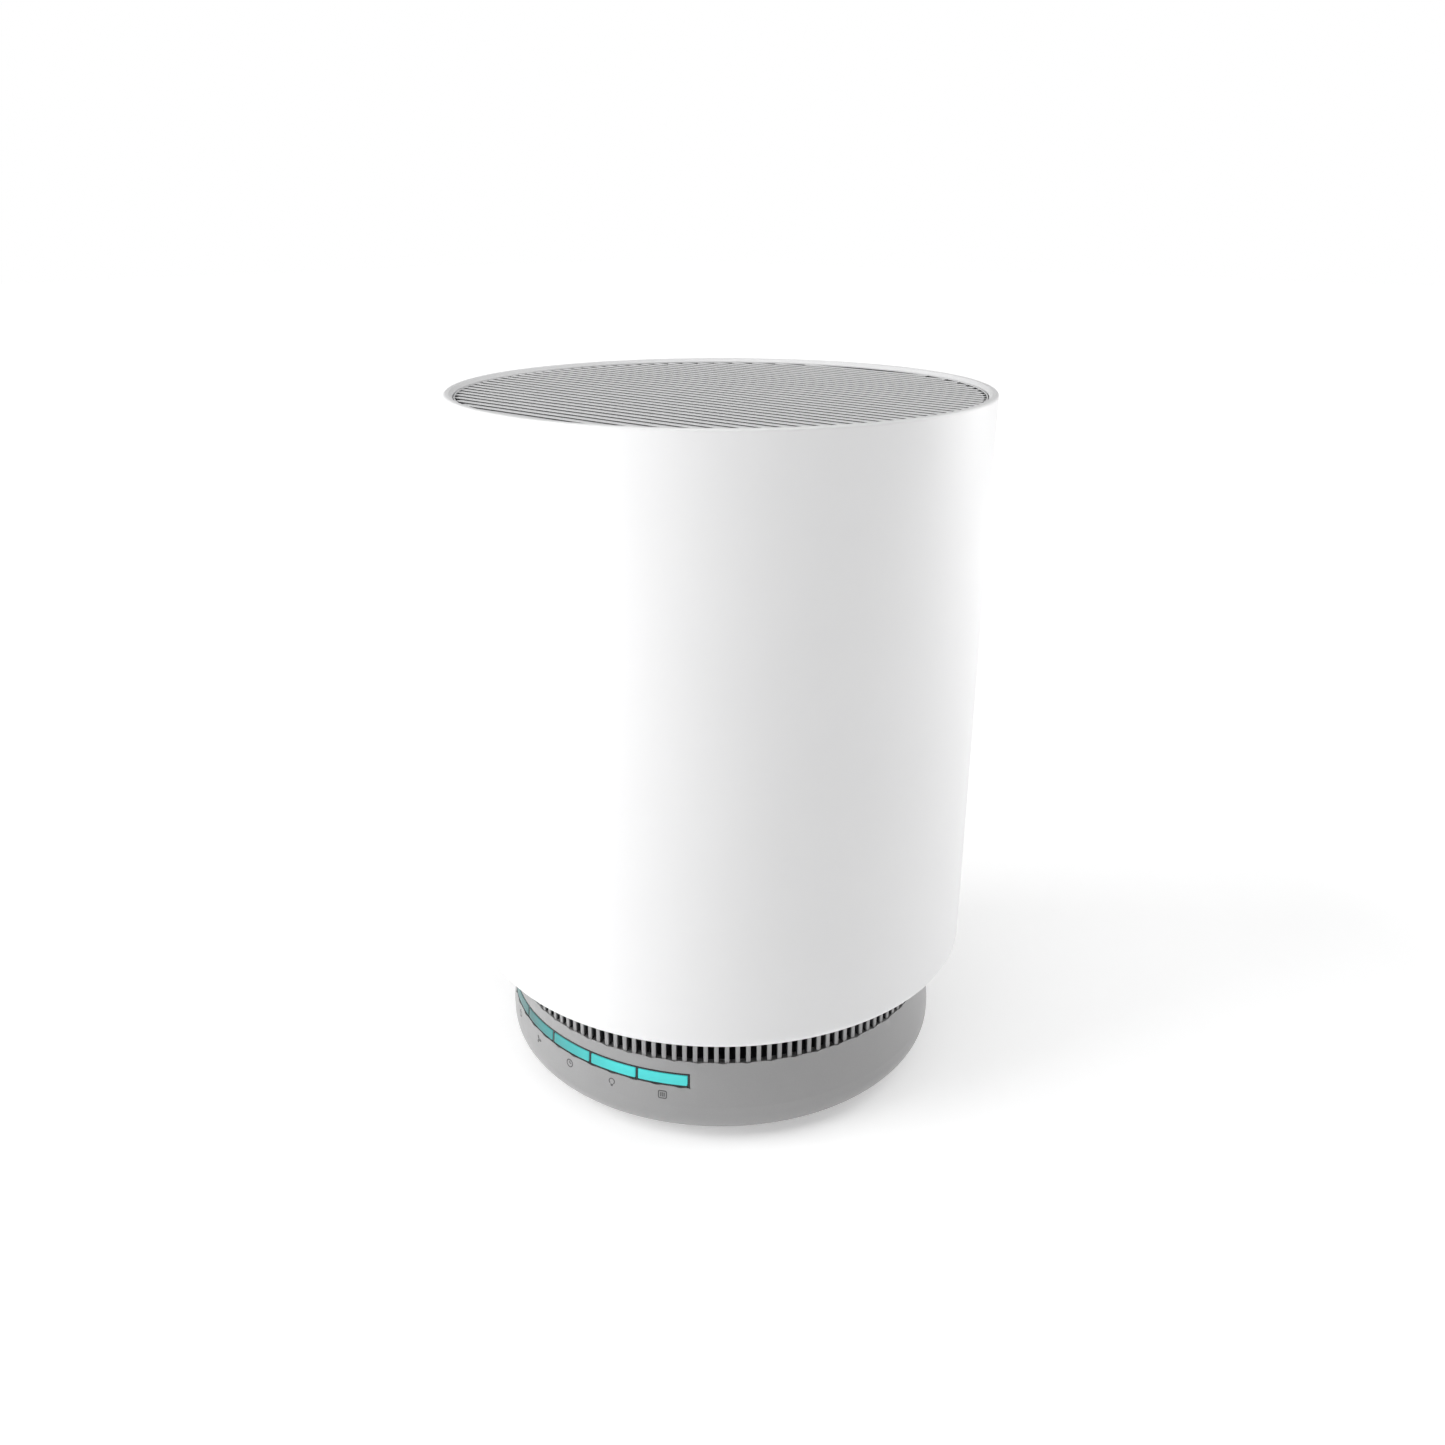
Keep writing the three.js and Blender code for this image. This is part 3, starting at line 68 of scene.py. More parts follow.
HEIGHT = shell_high.z
RIM_RADIUS = shell_high.x
SHELL_EDGE = shell_low.z
SHELL_TAPER = 0.7 * MM
SHELL_WALL = 2.8 * MM
SHELL_EDGE_ROUND = 3.5 * MM
SHELL_FLANGE = 2.5 * MM
RIM_ROUND = 1 * MM
RIM_SLOPE = 1.1 * MM
RIM_SHOULDER = 3.1 * MM
LEDGE_WIDTH = 3.5 * MM
LEDGE_THICKNESS = 2.2 * MM
LEDGE_SPAN = 94  # degrees of each stretch of the ledge inside the rim

GRILLE_RADIUS = grille_high.x
GRILLE_TOP = grille_high.z
GRILLE_RING_WIDTH = 4.2 * MM
GRILLE_RING_HEIGHT = 4.5 * MM
SLAT_PITCH = 4.56 * MM
SLAT_WIDTH = 2.4 * MM
SLAT_HEIGHT = 3 * MM
SLAT_SETBACK = 0.2 * MM
SLAT_ROUND = 0.2 * MM
GRILLE_LIP = 0.5 * MM  # the ring's full-height edge; its inner part lies lower, and the slats cross it
GRILLE_STEP = 1.6 * MM
LUG_COUNT = 3
LUG_SPAN = 18  # degrees
LUG_LAG = 30  # degrees from a gap in the ledge back to its lug
LUG_THICKNESS = 2.2 * MM
LUG_STEM = 2 * MM
LUG_SETBACK = 1 * MM  # from the ledge's root
SHADE_START_DEPTH = 0.42 * MM  # how far down the slats' sides the light grey reaches; below it the sides are painted near-black, as painted shade in the gaps between the slats
# height over which the light grey fades into the painted shade on the slats' sides
SHADE_FADE = 0.15 * MM

BASE_RADIUS = -base_low.y
BASE_FLARE = 1.5 * MM
BASE_FLARE_HEIGHT = 14.7 * MM
BASE_CORNER = 9 * MM
BASE_WALL = 2.4 * MM
UNDERSIDE = base_low.z
UNDERSIDE_BEVEL = 6 * MM
UNDERSIDE_DROP = 1.6 * MM
SILL = 31.7 * MM  # lower end of the air slots
SLOT_COUNT = 138
SLOT_WIDTH = 2.1 * MM
BAR_DEPTH = 1.8 * MM
BAR_FACE = 0.6 * MM  # the silver front of a bar; the rest is dark
BAR_SETBACK = 0.3 * MM
COVER_LAP = 8 * MM
PILLAR_RADIUS = 3.6 * MM
PILLAR_CIRCLE = 66.2 * MM
PILLAR_ANGLES = (-38, 50, 130, 218)  # degrees

KEY_COUNT = 5
STRIP_SPAN = 68  # degrees
STRIP_BOTTOM = 21.8 * MM
STRIP_TOP = 27.2 * MM
BEZEL_GAP = 0.12 * MM
BEZEL_RAIL = 0.55 * MM
BEZEL_DIVIDER = 0.8 * MM
BEZEL_SETBACK = 0.1 * MM
BEZEL_FLANGE = 1.7 * MM
BEZEL_SIDE_LAP = 1.25 * MM
KEY_GAP = 0.15 * MM
KEY_CORNER = 0.3 * MM
KEY_CROWN = 0.02 * MM
KEY_EDGE = 0.16 * MM
KEY_DEPTH = 4.2 * MM
KEY_FLANGE = 1.5 * MM
KEY_FLANGE_LAP = 0.8 * MM
KEY_STEM = 3 * MM
KEY_STEM_REACH = 4.5 * MM
LAMP_EDGE = -25 * MM  # where along X the light behind the keys sets in
LAMP_RISE = 21  # how fast it then grows, per metre
ICON_HEIGHT = 18.3 * MM  # middle of the printed signs under the keys
ICON_LINE = 0.4 * MM
INK_RAISE = 0.03 * MM

INLET_HALF_WIDTH = socket_high.x
INLET_BOTTOM, INLET_TOP = socket_low.z, socket_high.z
INLET_WALL = 1.5 * MM
INLET_DEPTH = 7 * MM
INLET_BORE = 3.1 * MM
INLET_COLLAR = 3.9 * MM

base_top_radius = BASE_RADIUS - BASE_FLARE


# ---------------------------------------------------------------- surfaces

def polar(radius, degrees, height):
    """Points at a distance from the Z axis, an angle from +X in degrees and a height."""
    radius, angle, height = np.broadcast_arrays(radius, np.radians(degrees), height)
    return np.stack([radius * np.cos(angle), radius * np.sin(angle), height], -1)


def grid_faces(rows, columns, wrap_rows=False, wrap_columns=False):
    """The quads of a grid of points, where point (i, j) has the index i * columns + j."""
    i, j = np.meshgrid(np.arange(rows - (not wrap_rows)), np.arange(columns - (not wrap_columns)),
                       indexing="ij")
    next_i, next_j = (i + 1) % rows, (j + 1) % columns
    corners = [i * columns + j, next_i * columns + j, next_i * columns + next_j, i * columns + next_j]
    return np.stack(corners, -1).reshape(-1, 4)


def rounded(corners, steps=4):
    """A closed outline of (x, y, radius) corners, each replaced by an arc that is tangent to its two sides."""
    points = np.array(corners, float)
    outline = []
    for (x, y, radius), before, after in zip(points, np.roll(points, 1, 0), np.roll(points, -1, 0)):
        here = np.array([x, y])
        if radius == 0:
            outline.append(here[None])
            continue
        u, v = before[:2] - here, after[:2] - here
        u, v = u / np.linalg.norm(u), v / np.linalg.norm(v)
        half = math.acos(float(np.clip(u @ v, -1, 1))) / 2
        inward = (u + v) / np.linalg.norm(u + v)
        centre = here + inward * radius / math.sin(half)
        start, end = (here + side * radius / math.tan(half) - centre for side in (u, v))
        first = math.atan2(start[1], start[0])
        turn = (math.atan2(end[1], end[0]) - first + math.pi) % (2 * math.pi) - math.pi
        angles = first + turn * np.linspace(0, 1, steps + 1)
        outline.append(centre + radius * np.stack([np.cos(angles), np.sin(angles)], -1))
    return np.concatenate(outline)


def box_outline(width, height, radius, steps=3):
    """A rectangle about the origin with rounded corners."""
    w, h = width / 2, height / 2
    return rounded([(-w, -h, radius), (w, -h, radius), (w, h, radius), (-w, h, radius)], steps)


def circle(radius, count=24):
    """Points evenly round the origin."""
    angles = np.linspace(0, 2 * np.pi, count, endpoint=False)
    return radius * np.stack([np.cos(angles), np.sin(angles)], -1)


def revolved(profile, columns=ROUND, start=0, span=360):
    """A closed (radius, height) profile turned about Z: point (i, j) is profile point j at angle i.
    A part turn has flat ends."""
    profile = np.asarray(profile, float)
    full = span == 360
    angles = start + span * np.arange(columns + (not full)) / columns
    points = polar(profile[None, :, 0], angles[:, None], profile[None, :, 1]).reshape(-1, 3)
    faces = [grid_faces(len(angles), len(profile), full, True)]
    if not full:
        end = np.arange(len(profile))
        faces += [end[None, ::-1], end[None] + columns * len(profile)]
    return points, faces


def lofted(rings):
    """A skin over a stack of rings with equal counts of points, with a flat face on each end."""
    rings = np.asarray(rings, float)
    count = rings.shape[1]
    end = np.arange(count)[None]
    faces = [grid_faces(len(rings), count, False, True), end[:, ::-1], end + (len(rings) - 1) * count]
    return rings.reshape(-1, 3), faces


def prism(outline, bottom, top, edge=0.0):
    """An (x, y) outline raised from one height to another, its ends drawn in by a small rounded edge."""
    outline = np.asarray(outline, float)
    middle = outline.mean(0)
    reach = np.abs(outline - middle).max()
    levels = [(bottom, 0), (top, 0)]
    if edge:
        levels = [(bottom, edge), (bottom + edge, 0), (top - edge, 0), (top, edge)]
    rings = [np.column_stack([middle + (outline - middle) * (1 - inset / reach), np.full(len(outline), z)])
             for z, inset in levels]
    return lofted(rings)


def turned_to(surface, degrees, shift=(0, 0, 0)):
    """A surface moved by shift and then turned about Z."""
    points, faces = surface
    c, s = math.cos(math.radians(degrees)), math.sin(math.radians(degrees))
    return (points + np.array(shift)) @ np.array([[c, s, 0], [-s, c, 0], [0, 0, 1]]), faces


def laid_over(surface, axes, shift=(0, 0, 0)):
    """A surface whose x, y and z are sent along three new directions, and then moved."""
    points, faces = surface
    return points @ np.array(axes, float) + np.array(shift), faces


def copied_round(surface, degrees):
    """One surface repeated at many angles about Z, as a single array of points."""
    points, faces = surface
    angle = np.radians(np.asarray(degrees, float))
    c, s, zero, one = np.cos(angle), np.sin(angle), np.zeros(len(angle)), np.ones(len(angle))
    turns_and_groove_shade = np.array([[c, s, zero], [-s, c, zero], [zero, zero, one]]).transpose(2, 0, 1)
    shifts = np.arange(len(angle)) * len(points)
    return (points @ turns_and_groove_shade).reshape(-1, 3), [
        (f[None] + shifts[:, None, None]).reshape(-1, f.shape[1]) for f in faces
    ]


def pierced_wall(outer, inner, degrees, holes, full=True):
    """A wall of revolution with windows in it. Outer and inner are (radius, height) profiles with matching
    rows, and degrees are its columns. A cell inside a hole (from, to, top, bottom) is left out, and wherever a
    solid cell meets an open one a face joins the outer surface to the inner one."""
    outer, inner, degrees = (np.asarray(a, float) for a in (outer, inner, degrees))
    columns, rows = len(degrees), len(outer)
    depth = columns * rows
    points = np.concatenate([polar(profile[None, :, 0], degrees[:, None], profile[None, :, 1]).reshape(-1, 3)
                             for profile in (outer, inner)])
    index = np.arange(depth).reshape(columns, rows)
    if full:
        here, across = index, np.roll(index, -1, 0)
        start_angle, end_angle = degrees, np.append(degrees[1:], degrees[0] + 360)
    else:
        here, across = index[:-1], index[1:]
        start_angle, end_angle = degrees[:-1], degrees[1:]
    angle = (start_angle + end_angle) / 2
    height = (outer[:-1, 1] + outer[1:, 1]) / 2
    solid = np.ones((len(angle), rows - 1), bool)
    for start, end, top, bottom in holes:
        inside = (angle - start) % 360 < end - start
        solid &= ~(inside[:, None] & (height < top) & (height > bottom))
    skin = np.stack([here[:, :-1], across[:, :-1], across[:, 1:], here[:, 1:]], -1)[solid]
    capped = np.pad(solid, ((0, 0), (1, 1)))
    level = np.stack([here, across, across + depth, here + depth], -1)[capped[:, :-1] != capped[:, 1:]]
    if full:
        before, after = np.roll(solid, 1, 0), solid
    else:
        ended = np.pad(solid, ((1, 1), (0, 0)))
        before, after = ended[:-1], ended[1:]
    upright = np.stack([index[:, :-1], index[:, 1:], index[:, 1:] + depth, index[:, :-1] + depth],
                       -1)[before != after]
    return points, [skin, skin[:, ::-1] + depth, level, upright]


# ---------------------------------------------------------------- pieces

def piece(name, surfaces, finish, body="housing", stands_for=(), edge=0.0, sharp=38):
    """One object from several surfaces: equal points are merged, faces point outwards, and edges over the
    sharp angle stay sharp unless an edge width rounds them."""
    points = np.concatenate([p for p, _ in surfaces])
    shifts = np.cumsum([0] + [len(p) for p, _ in surfaces])
    sets = [f + shift for (_, faces), shift in zip(surfaces, shifts) for f in faces if len(f)]
    sizes = np.concatenate([np.full(len(f), f.shape[1]) for f in sets])
    corners = np.concatenate([f.ravel() for f in sets])
    mesh = bpy.data.meshes.new(name)
    mesh.vertices.add(len(points))
    mesh.vertices.foreach_set("co", points.astype(np.float32).ravel())
    mesh.loops.add(len(corners))
    mesh.loops.foreach_set("vertex_index", corners.astype(np.int32))
    mesh.polygons.add(len(sizes))
    mesh.polygons.foreach_set("loop_start", (np.cumsum(sizes) - sizes).astype(np.int32))
    mesh.update(calc_edges=True)
    shape = bmesh.new()
    shape.from_mesh(mesh)
    bmesh.ops.remove_doubles(shape, verts=shape.verts, dist=1e-6)
    bmesh.ops.dissolve_degenerate(shape, edges=shape.edges, dist=1e-7)
    if edge:
        hard = [e for e in shape.edges
                if len(e.link_faces) == 2 and e.calc_face_angle() > math.radians(sharp)]
        bmesh.ops.bevel(shape, geom=hard, offset=edge, segments=2, profile=0.5, affect="EDGES",
                        clamp_overlap=True)
    bmesh.ops.recalc_face_normals(shape, faces=shape.faces)
    shape.to_mesh(mesh)
    shape.free()
    mesh.shade_smooth()
    mesh.set_sharp_from_angle(angle=math.radians(sharp))
    made = bpy.data.objects.new(name, mesh)
    bpy.context.scene.collection.objects.link(made)
    made.data.materials.append(finish)
    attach(made, body)
    if stands_for:
        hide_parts(*stands_for)
    return made


# ---------------------------------------------------------------- finishes

class Wire:
    """A number that varies over a surface. Arithmetic on it adds Math nodes."""

    def __init__(self, nodes, socket):
        self.nodes, self.socket = nodes, socket

    def math(self, operation, *values):
        return self.nodes.node("ShaderNodeMath", {"operation": operation}, dict(enumerate(values)))

    def __add__(self, other):
        return self.math("ADD", self, other)

    def __sub__(self, other):
        return self.math("SUBTRACT", self, other)

    def __rsub__(self, other):
        return self.math("SUBTRACT", other, self)

    def __mul__(self, other):
        return self.math("MULTIPLY", self, other)

    def __gt__(self, other):
        return self.math("GREATER_THAN", self, other)

    def __lt__(self, other):
        return self.math("LESS_THAN", self, other)

    __radd__, __rmul__ = __add__, __mul__


class Nodes:
    """A tree of shader nodes. Every node of every finish is made by its one method."""

    def __init__(self, tree):
        self.tree = tree

    def node(self, kind, settings=None, values=None, out=0):
        """Any node: its settings first, then the value or the wire of each socket."""
        made = self.tree.nodes.new(kind)
        for key, value in (settings or {}).items():
            setattr(made, key, value)
        for socket, value in (values or {}).items():
            self.feed(made.inputs[socket], value)
        return Wire(self, made.outputs[out])

    def feed(self, socket, value):
        if isinstance(value, Wire):
            self.tree.links.new(value.socket, socket)
        else:
            socket.default_value = value


class Paint(Nodes):
    """One material: a Principled shader, its constants and what feeds it."""

    def __init__(self, name, **constants):
        self.material = bpy.data.materials.new(name)
        self.material.use_nodes = True
        super().__init__(self.material.node_tree)
        self.shader = next(n for n in self.tree.nodes if n.type == "BSDF_PRINCIPLED")
        for socket, value in constants.items():
            self.shader.inputs[socket.replace("_", " ")].default_value = value

    def place(self):
        """Where a point is on the piece, in metres."""
        return self.node("ShaderNodeTexCoord", out="Object")

    def along(self, axis):
        return self.node("ShaderNodeSeparateXYZ", None, {0: self.place()}, out=axis)

    def noise(self, size, detail=2.0, stretch=(1, 1, 1)):
        """Soft cloudy noise whose cells are about size metres wide, stretched along each axis."""
        where = self.node("ShaderNodeVectorMath", {"operation": "MULTIPLY"}, {0: self.place(), 1: stretch})
        return self.node("ShaderNodeTexNoise", None, {"Vector": where, "Scale": 1 / size, "Detail": detail})

    def cells(self, size, feature="F1"):
        return self.node("ShaderNodeTexVoronoi", {"feature": feature},
                         {"Vector": self.place(), "Scale": 1 / size}, out="Distance")

    def bands(self, pitch, direction="X"):
        """A sine wave along one axis, from 0 to 1. At a scale of 1 the node's wave is pi / 10 long."""
        return self.node("ShaderNodeTexWave", {"wave_type": "BANDS", "bands_direction": direction},
                         {"Vector": self.place(), "Scale": math.pi / 10 / pitch}, out="Fac")

    def blend(self, share, low, high):
        """A colour between two colours."""
        return self.node("ShaderNodeMix", {"data_type": "RGBA"},
                         {0: share, 6: low, 7: high}, out=2)

    def clamped(self, amount):
        """A number held between 0 and 1."""
        return self.node("ShaderNodeClamp", None, {"Value": amount})

    def wear(self, low, high, amount):
        """The base colour moves between two colours."""
        self.feed(self.shader.inputs["Base Color"], self.blend(amount, (*low, 1), (*high, 1)))

    def gloss(self, roughness):
        self.feed(self.shader.inputs["Roughness"], roughness)

    def relief(self, height, depth):
        """A bump whose height of 1 stands depth metres proud."""
        bump = self.node("ShaderNodeBump", None, {"Strength": 1.0, "Distance": depth, "Height": height})
        self.feed(self.shader.inputs["Normal"], bump)


def moulded(name, low, high, roughness, grain, depth):
    """Moulded plastic: a slight drift of colour, a fine spark-eroded grain and a gloss that varies a little.
    Grain and depth are in millimetres."""
    paint = Paint(name)
    paint.wear(low, high, paint.noise(30 * MM))
    fine = paint.noise(grain * MM, 3)
    paint.gloss(fine * 0.08 + (roughness - 0.04))
    paint.relief(fine, depth * MM)
    return paint.material


def grey_moulding_painted_shade():
    """Grey plastic, light grey on its top faces and painted near-black lower down, as painted shade in the gaps
    between the slats: the light grey fades into this painted shade just below the top faces, on the sides.
    """
    paint = Paint("grey_moulding_painted_shade")
    fine = paint.noise(0.4 * MM, 3)
    # 1 on the top faces and 0 further down, where the near-black colour is painted shade in the gaps between the
    # slats
    above_painted_shade = paint.clamped((paint.along(2) - (GRILLE_TOP - SHADE_START_DEPTH)) * (1 / SHADE_FADE))
    paint.wear((0.04, 0.04, 0.042), (0.80, 0.802, 0.808), above_painted_shade * 0.94 + fine * 0.06)
    paint.gloss(fine * 0.08 + 0.38)
    paint.relief(fine, 0.006 * MM)
    return paint.material


def silver_paint():
    """Fine metallic paint: tiny flakes lighten and darken it and tilt its surface."""
    paint = Paint("silver_paint", Metallic=0.3, Coat_Weight=0.5, Coat_Roughness=0.3)
    flakes = paint.cells(0.16 * MM)
    paint.wear((0.30, 0.298, 0.30), (0.37, 0.368, 0.37), flakes * 0.6 + paint.noise(18 * MM) * 0.4)
    paint.gloss(paint.noise(0.5 * MM) * 0.12 + 0.44)
    paint.relief(flakes, 0.002 * MM)
    return paint.material


def lit_lens():
    """A cyan lens lit from behind. Its lamps are at the right end, so both the glow and the lens's own colour
    fade to a dull teal at the left; the glow is also stronger towards the upper edge, and a little uneven,
    from the diffusing grain inside the lens."""
    paint = Paint("lit_lens", Roughness=0.3, Emission_Strength=0.5)
    cloud = paint.noise(5 * MM)
    sideways = paint.clamped((paint.along(0) - LAMP_EDGE) * LAMP_RISE)
    upwards = paint.clamped((paint.along(2) - STRIP_BOTTOM) * (1 / (STRIP_TOP - STRIP_BOTTOM)))
    paint.wear((0.02, 0.12, 0.12), (0.03, 0.36, 0.36), paint.clamped(sideways * 0.85 + cloud * 0.15))
    share = paint.clamped(sideways * (upwards * 0.2 + cloud * 0.1 + 0.7))
    glow = paint.blend(share, (0.02, 0.03, 0.03, 1), (0.08, 0.87, 0.85, 1))
    paint.feed(paint.shader.inputs["Emission Color"], glow)
    return paint.material


def circuit_board():
    """Green lacquer over copper tracks, with parts soldered on: what stands off the board is black or white."""
    paint = Paint("circuit_board")
    tracks = paint.bands(2.6 * MM, "X") * paint.bands(3.4 * MM, "Y") > 0.42
    paint.wear((0.008, 0.085, 0.04), (0.02, 0.15, 0.07), tracks)
    paint.gloss(0.3 + tracks * 0.12)
    paint.relief(tracks, 0.03 * MM)
    return paint.material


def turned_metal(name, low, high):
    """Turned metal: fine scratches run round it."""
    paint = Paint(name, Metallic=1.0)
    scratches = paint.noise(0.4 * MM, 3, (1, 1, 12))
    paint.wear(low, high, scratches)
    paint.gloss(scratches * 0.2 + 0.2)
    paint.relief(scratches, 0.004 * MM)
    return paint.material


def copper_wire():
    """Enamelled wire wound side by side: each turn is a raised band, and the dark line beside it is painted shade
    in the groove between turns.
    """
    paint = Paint("copper_wire", Metallic=0.9)
    turns_and_groove_shade = paint.bands(0.45 * MM, "Z")
    # the dark end of the bands is painted shade in the grooves between turns; the light end is the copper's own
    # colour
    paint.wear((0.22, 0.07, 0.025), (0.75, 0.33, 0.14), turns_and_groove_shade)
    paint.gloss(0.42 - turns_and_groove_shade * 0.14)
    paint.relief(turns_and_groove_shade, 0.12 * MM)
    return paint.material


def pleated_paper():
    """Fibre filter paper: short pale fibres over a soft cloudy ground."""
    paint = Paint("pleated_paper", Roughness=0.95)
    fibres = paint.noise(0.5 * MM, 4, (1, 1, 0.25))
    paint.wear((0.70, 0.69, 0.63), (0.86, 0.85, 0.80), fibres)
    paint.relief(fibres, 0.08 * MM)
    return paint.material


def open_net():
    """A pale net: threads cross on a fine square grid, and the holes between them are painted dark, as painted
    shade seen through them.
    """
    paint = Paint("open_net", Roughness=0.8)
    threads = paint.cells(1.3 * MM, "DISTANCE_TO_EDGE") < 0.16
    # the dark colour between the threads is painted shade in the holes; the pale colour is the threads' own
    paint.wear((0.16, 0.165, 0.165), (0.72, 0.74, 0.74), threads)
    paint.relief(threads, 0.2 * MM)
    return paint.material


def closed_foam():
    """Closed-cell foam: small round pores."""
    paint = Paint("closed_foam", Roughness=0.95)
    pores = paint.cells(0.5 * MM)
    paint.wear((0.012, 0.012, 0.013), (0.04, 0.04, 0.042), pores)
    paint.relief(pores, 0.15 * MM)
    return paint.material


def woven_strap():
    """Flat woven tape: warp and weft cross every half millimetre."""
    paint = Paint("woven_strap", Roughness=0.75)
    weave = paint.bands(0.9 * MM, "X") * paint.bands(0.7 * MM, "Y")
    paint.wear((0.015, 0.09, 0.24), (0.05, 0.24, 0.50), weave)
    paint.relief(weave, 0.12 * MM)
    return paint.material


MOULDINGS = {  # slot: name, two colours, roughness, grain, depth
    "white_shell": ("white_moulding", (0.86, 0.86, 0.865), (0.885, 0.885, 0.888), 0.36, 0.6, 0.003),
    "silver_cover": ("cover_moulding", (0.36, 0.36, 0.37), (0.42, 0.42, 0.43), 0.5, 0.8, 0.02),
    "dark_plastic": ("dark_moulding", (0.045, 0.046, 0.05), (0.06, 0.061, 0.065), 0.5, 0.7, 0.02),
    "black_trim": ("gloss_black", (0.008, 0.009, 0.01), (0.014, 0.015, 0.017), 0.2, 0.8, 0.002),
    "printed_sign": ("printed_ink", (0.07, 0.07, 0.072), (0.11, 0.11, 0.112), 0.5, 0.3, 0.004),
    "switch_plastic": ("switch_plastic", (0.02, 0.02, 0.02), (0.035, 0.035, 0.035), 0.45, 0.5, 0.012),
    "rubber_foot": ("rubber", (0.016, 0.016, 0.017), (0.028, 0.028, 0.029), 0.82, 0.35, 0.03),
    "fan_plastic": ("fan_plastic", (0.016, 0.017, 0.019), (0.028, 0.029, 0.032), 0.4, 0.9, 0.01),
    "magnet": ("ferrite", (0.045, 0.045, 0.047), (0.085, 0.085, 0.088), 0.65, 0.25, 0.02),
    "filter_frame": ("filter_frame", (0.07, 0.071, 0.075), (0.09, 0.091, 0.095), 0.55, 0.6, 0.02),
    "lead_cover": ("lead_sleeve", (0.012, 0.012, 0.013), (0.024, 0.024, 0.025), 0.42, 0.8, 0.01),
}
FINISHES = {
    **{slot: moulded(*values) for slot, values in MOULDINGS.items()},
    "grey_grille": grey_moulding_painted_shade(),
    "silver_base": silver_paint(),
    "lit_key": lit_lens(),
    "circuit_board": circuit_board(),
    "steel": turned_metal("bright_steel", (0.5, 0.51, 0.53), (0.66, 0.67, 0.69)),
    "brass": turned_metal("turned_brass", (0.55, 0.38, 0.14), (0.72, 0.53, 0.24)),
    "winding_wire": copper_wire(),
    "filter_paper": pleated_paper(),
    "filter_mesh": open_net(),
    "foam": closed_foam(),
    "strap": woven_strap(),
}


def finish_cad_nodes():
    """Each node of the frame takes the finish of its slot in the record."""
    for part in frame["record"]["subparts"]:
        data = frame["nodes"][part["node"]].data
        data.materials.clear()
        data.materials.append(FINISHES[part["material_slot"]])


# ---------------------------------------------------------------- shell and grille

def outer_shell():
    """A tapered tube with a rounded foot and a fine rim, and inside the rim three stretches of ledge."""
    foot = RIM_RADIUS - SHELL_TAPER
    shoulder = RIM_RADIUS - RIM_SHOULDER
    ledge_top = GRILLE_TOP - GRILLE_RING_HEIGHT - GAP
    ledge_bottom = ledge_top - LEDGE_THICKNESS
    thick = ledge_bottom - LEDGE_THICKNESS - 2 * GAP
    floor_inner = base_top_radius + 0.5 * MM
    wall = rounded([
        (floor_inner, SHELL_EDGE, EASED),
        (foot, SHELL_EDGE, SHELL_EDGE_ROUND),
        (RIM_RADIUS, HEIGHT, RIM_ROUND),
        (shoulder + RIM_SLOPE, HEIGHT, 0.5 * MM),
        (shoulder, HEIGHT - RIM_SLOPE, 0.4 * MM),
        (shoulder, thick, EASED),
        (RIM_RADIUS - SHELL_WALL, thick - 3 * MM, EASED),
        (foot - SHELL_WALL, SHELL_EDGE + SHELL_FLANGE, 0.8 * MM),
        (floor_inner, SHELL_EDGE + SHELL_FLANGE, EASED),
    ], 8)
    inner = shoulder - LEDGE_WIDTH
    ledge = rounded([
        (shoulder + LAP, ledge_bottom, 0),
        (shoulder + LAP, ledge_top, 0),
        (inner, ledge_top, EASED),
        (inner, ledge_bottom, EASED),
    ])
    ledges = [revolved(ledge, 40, 360 / LUG_COUNT * (i + 0.5) - LEDGE_SPAN / 2, LEDGE_SPAN)
              for i in range(LUG_COUNT)]
    piece("shell_with_rim", [revolved(wall, 256), *ledges], FINISHES["white_shell"],
          stands_for=["outer_shell"])


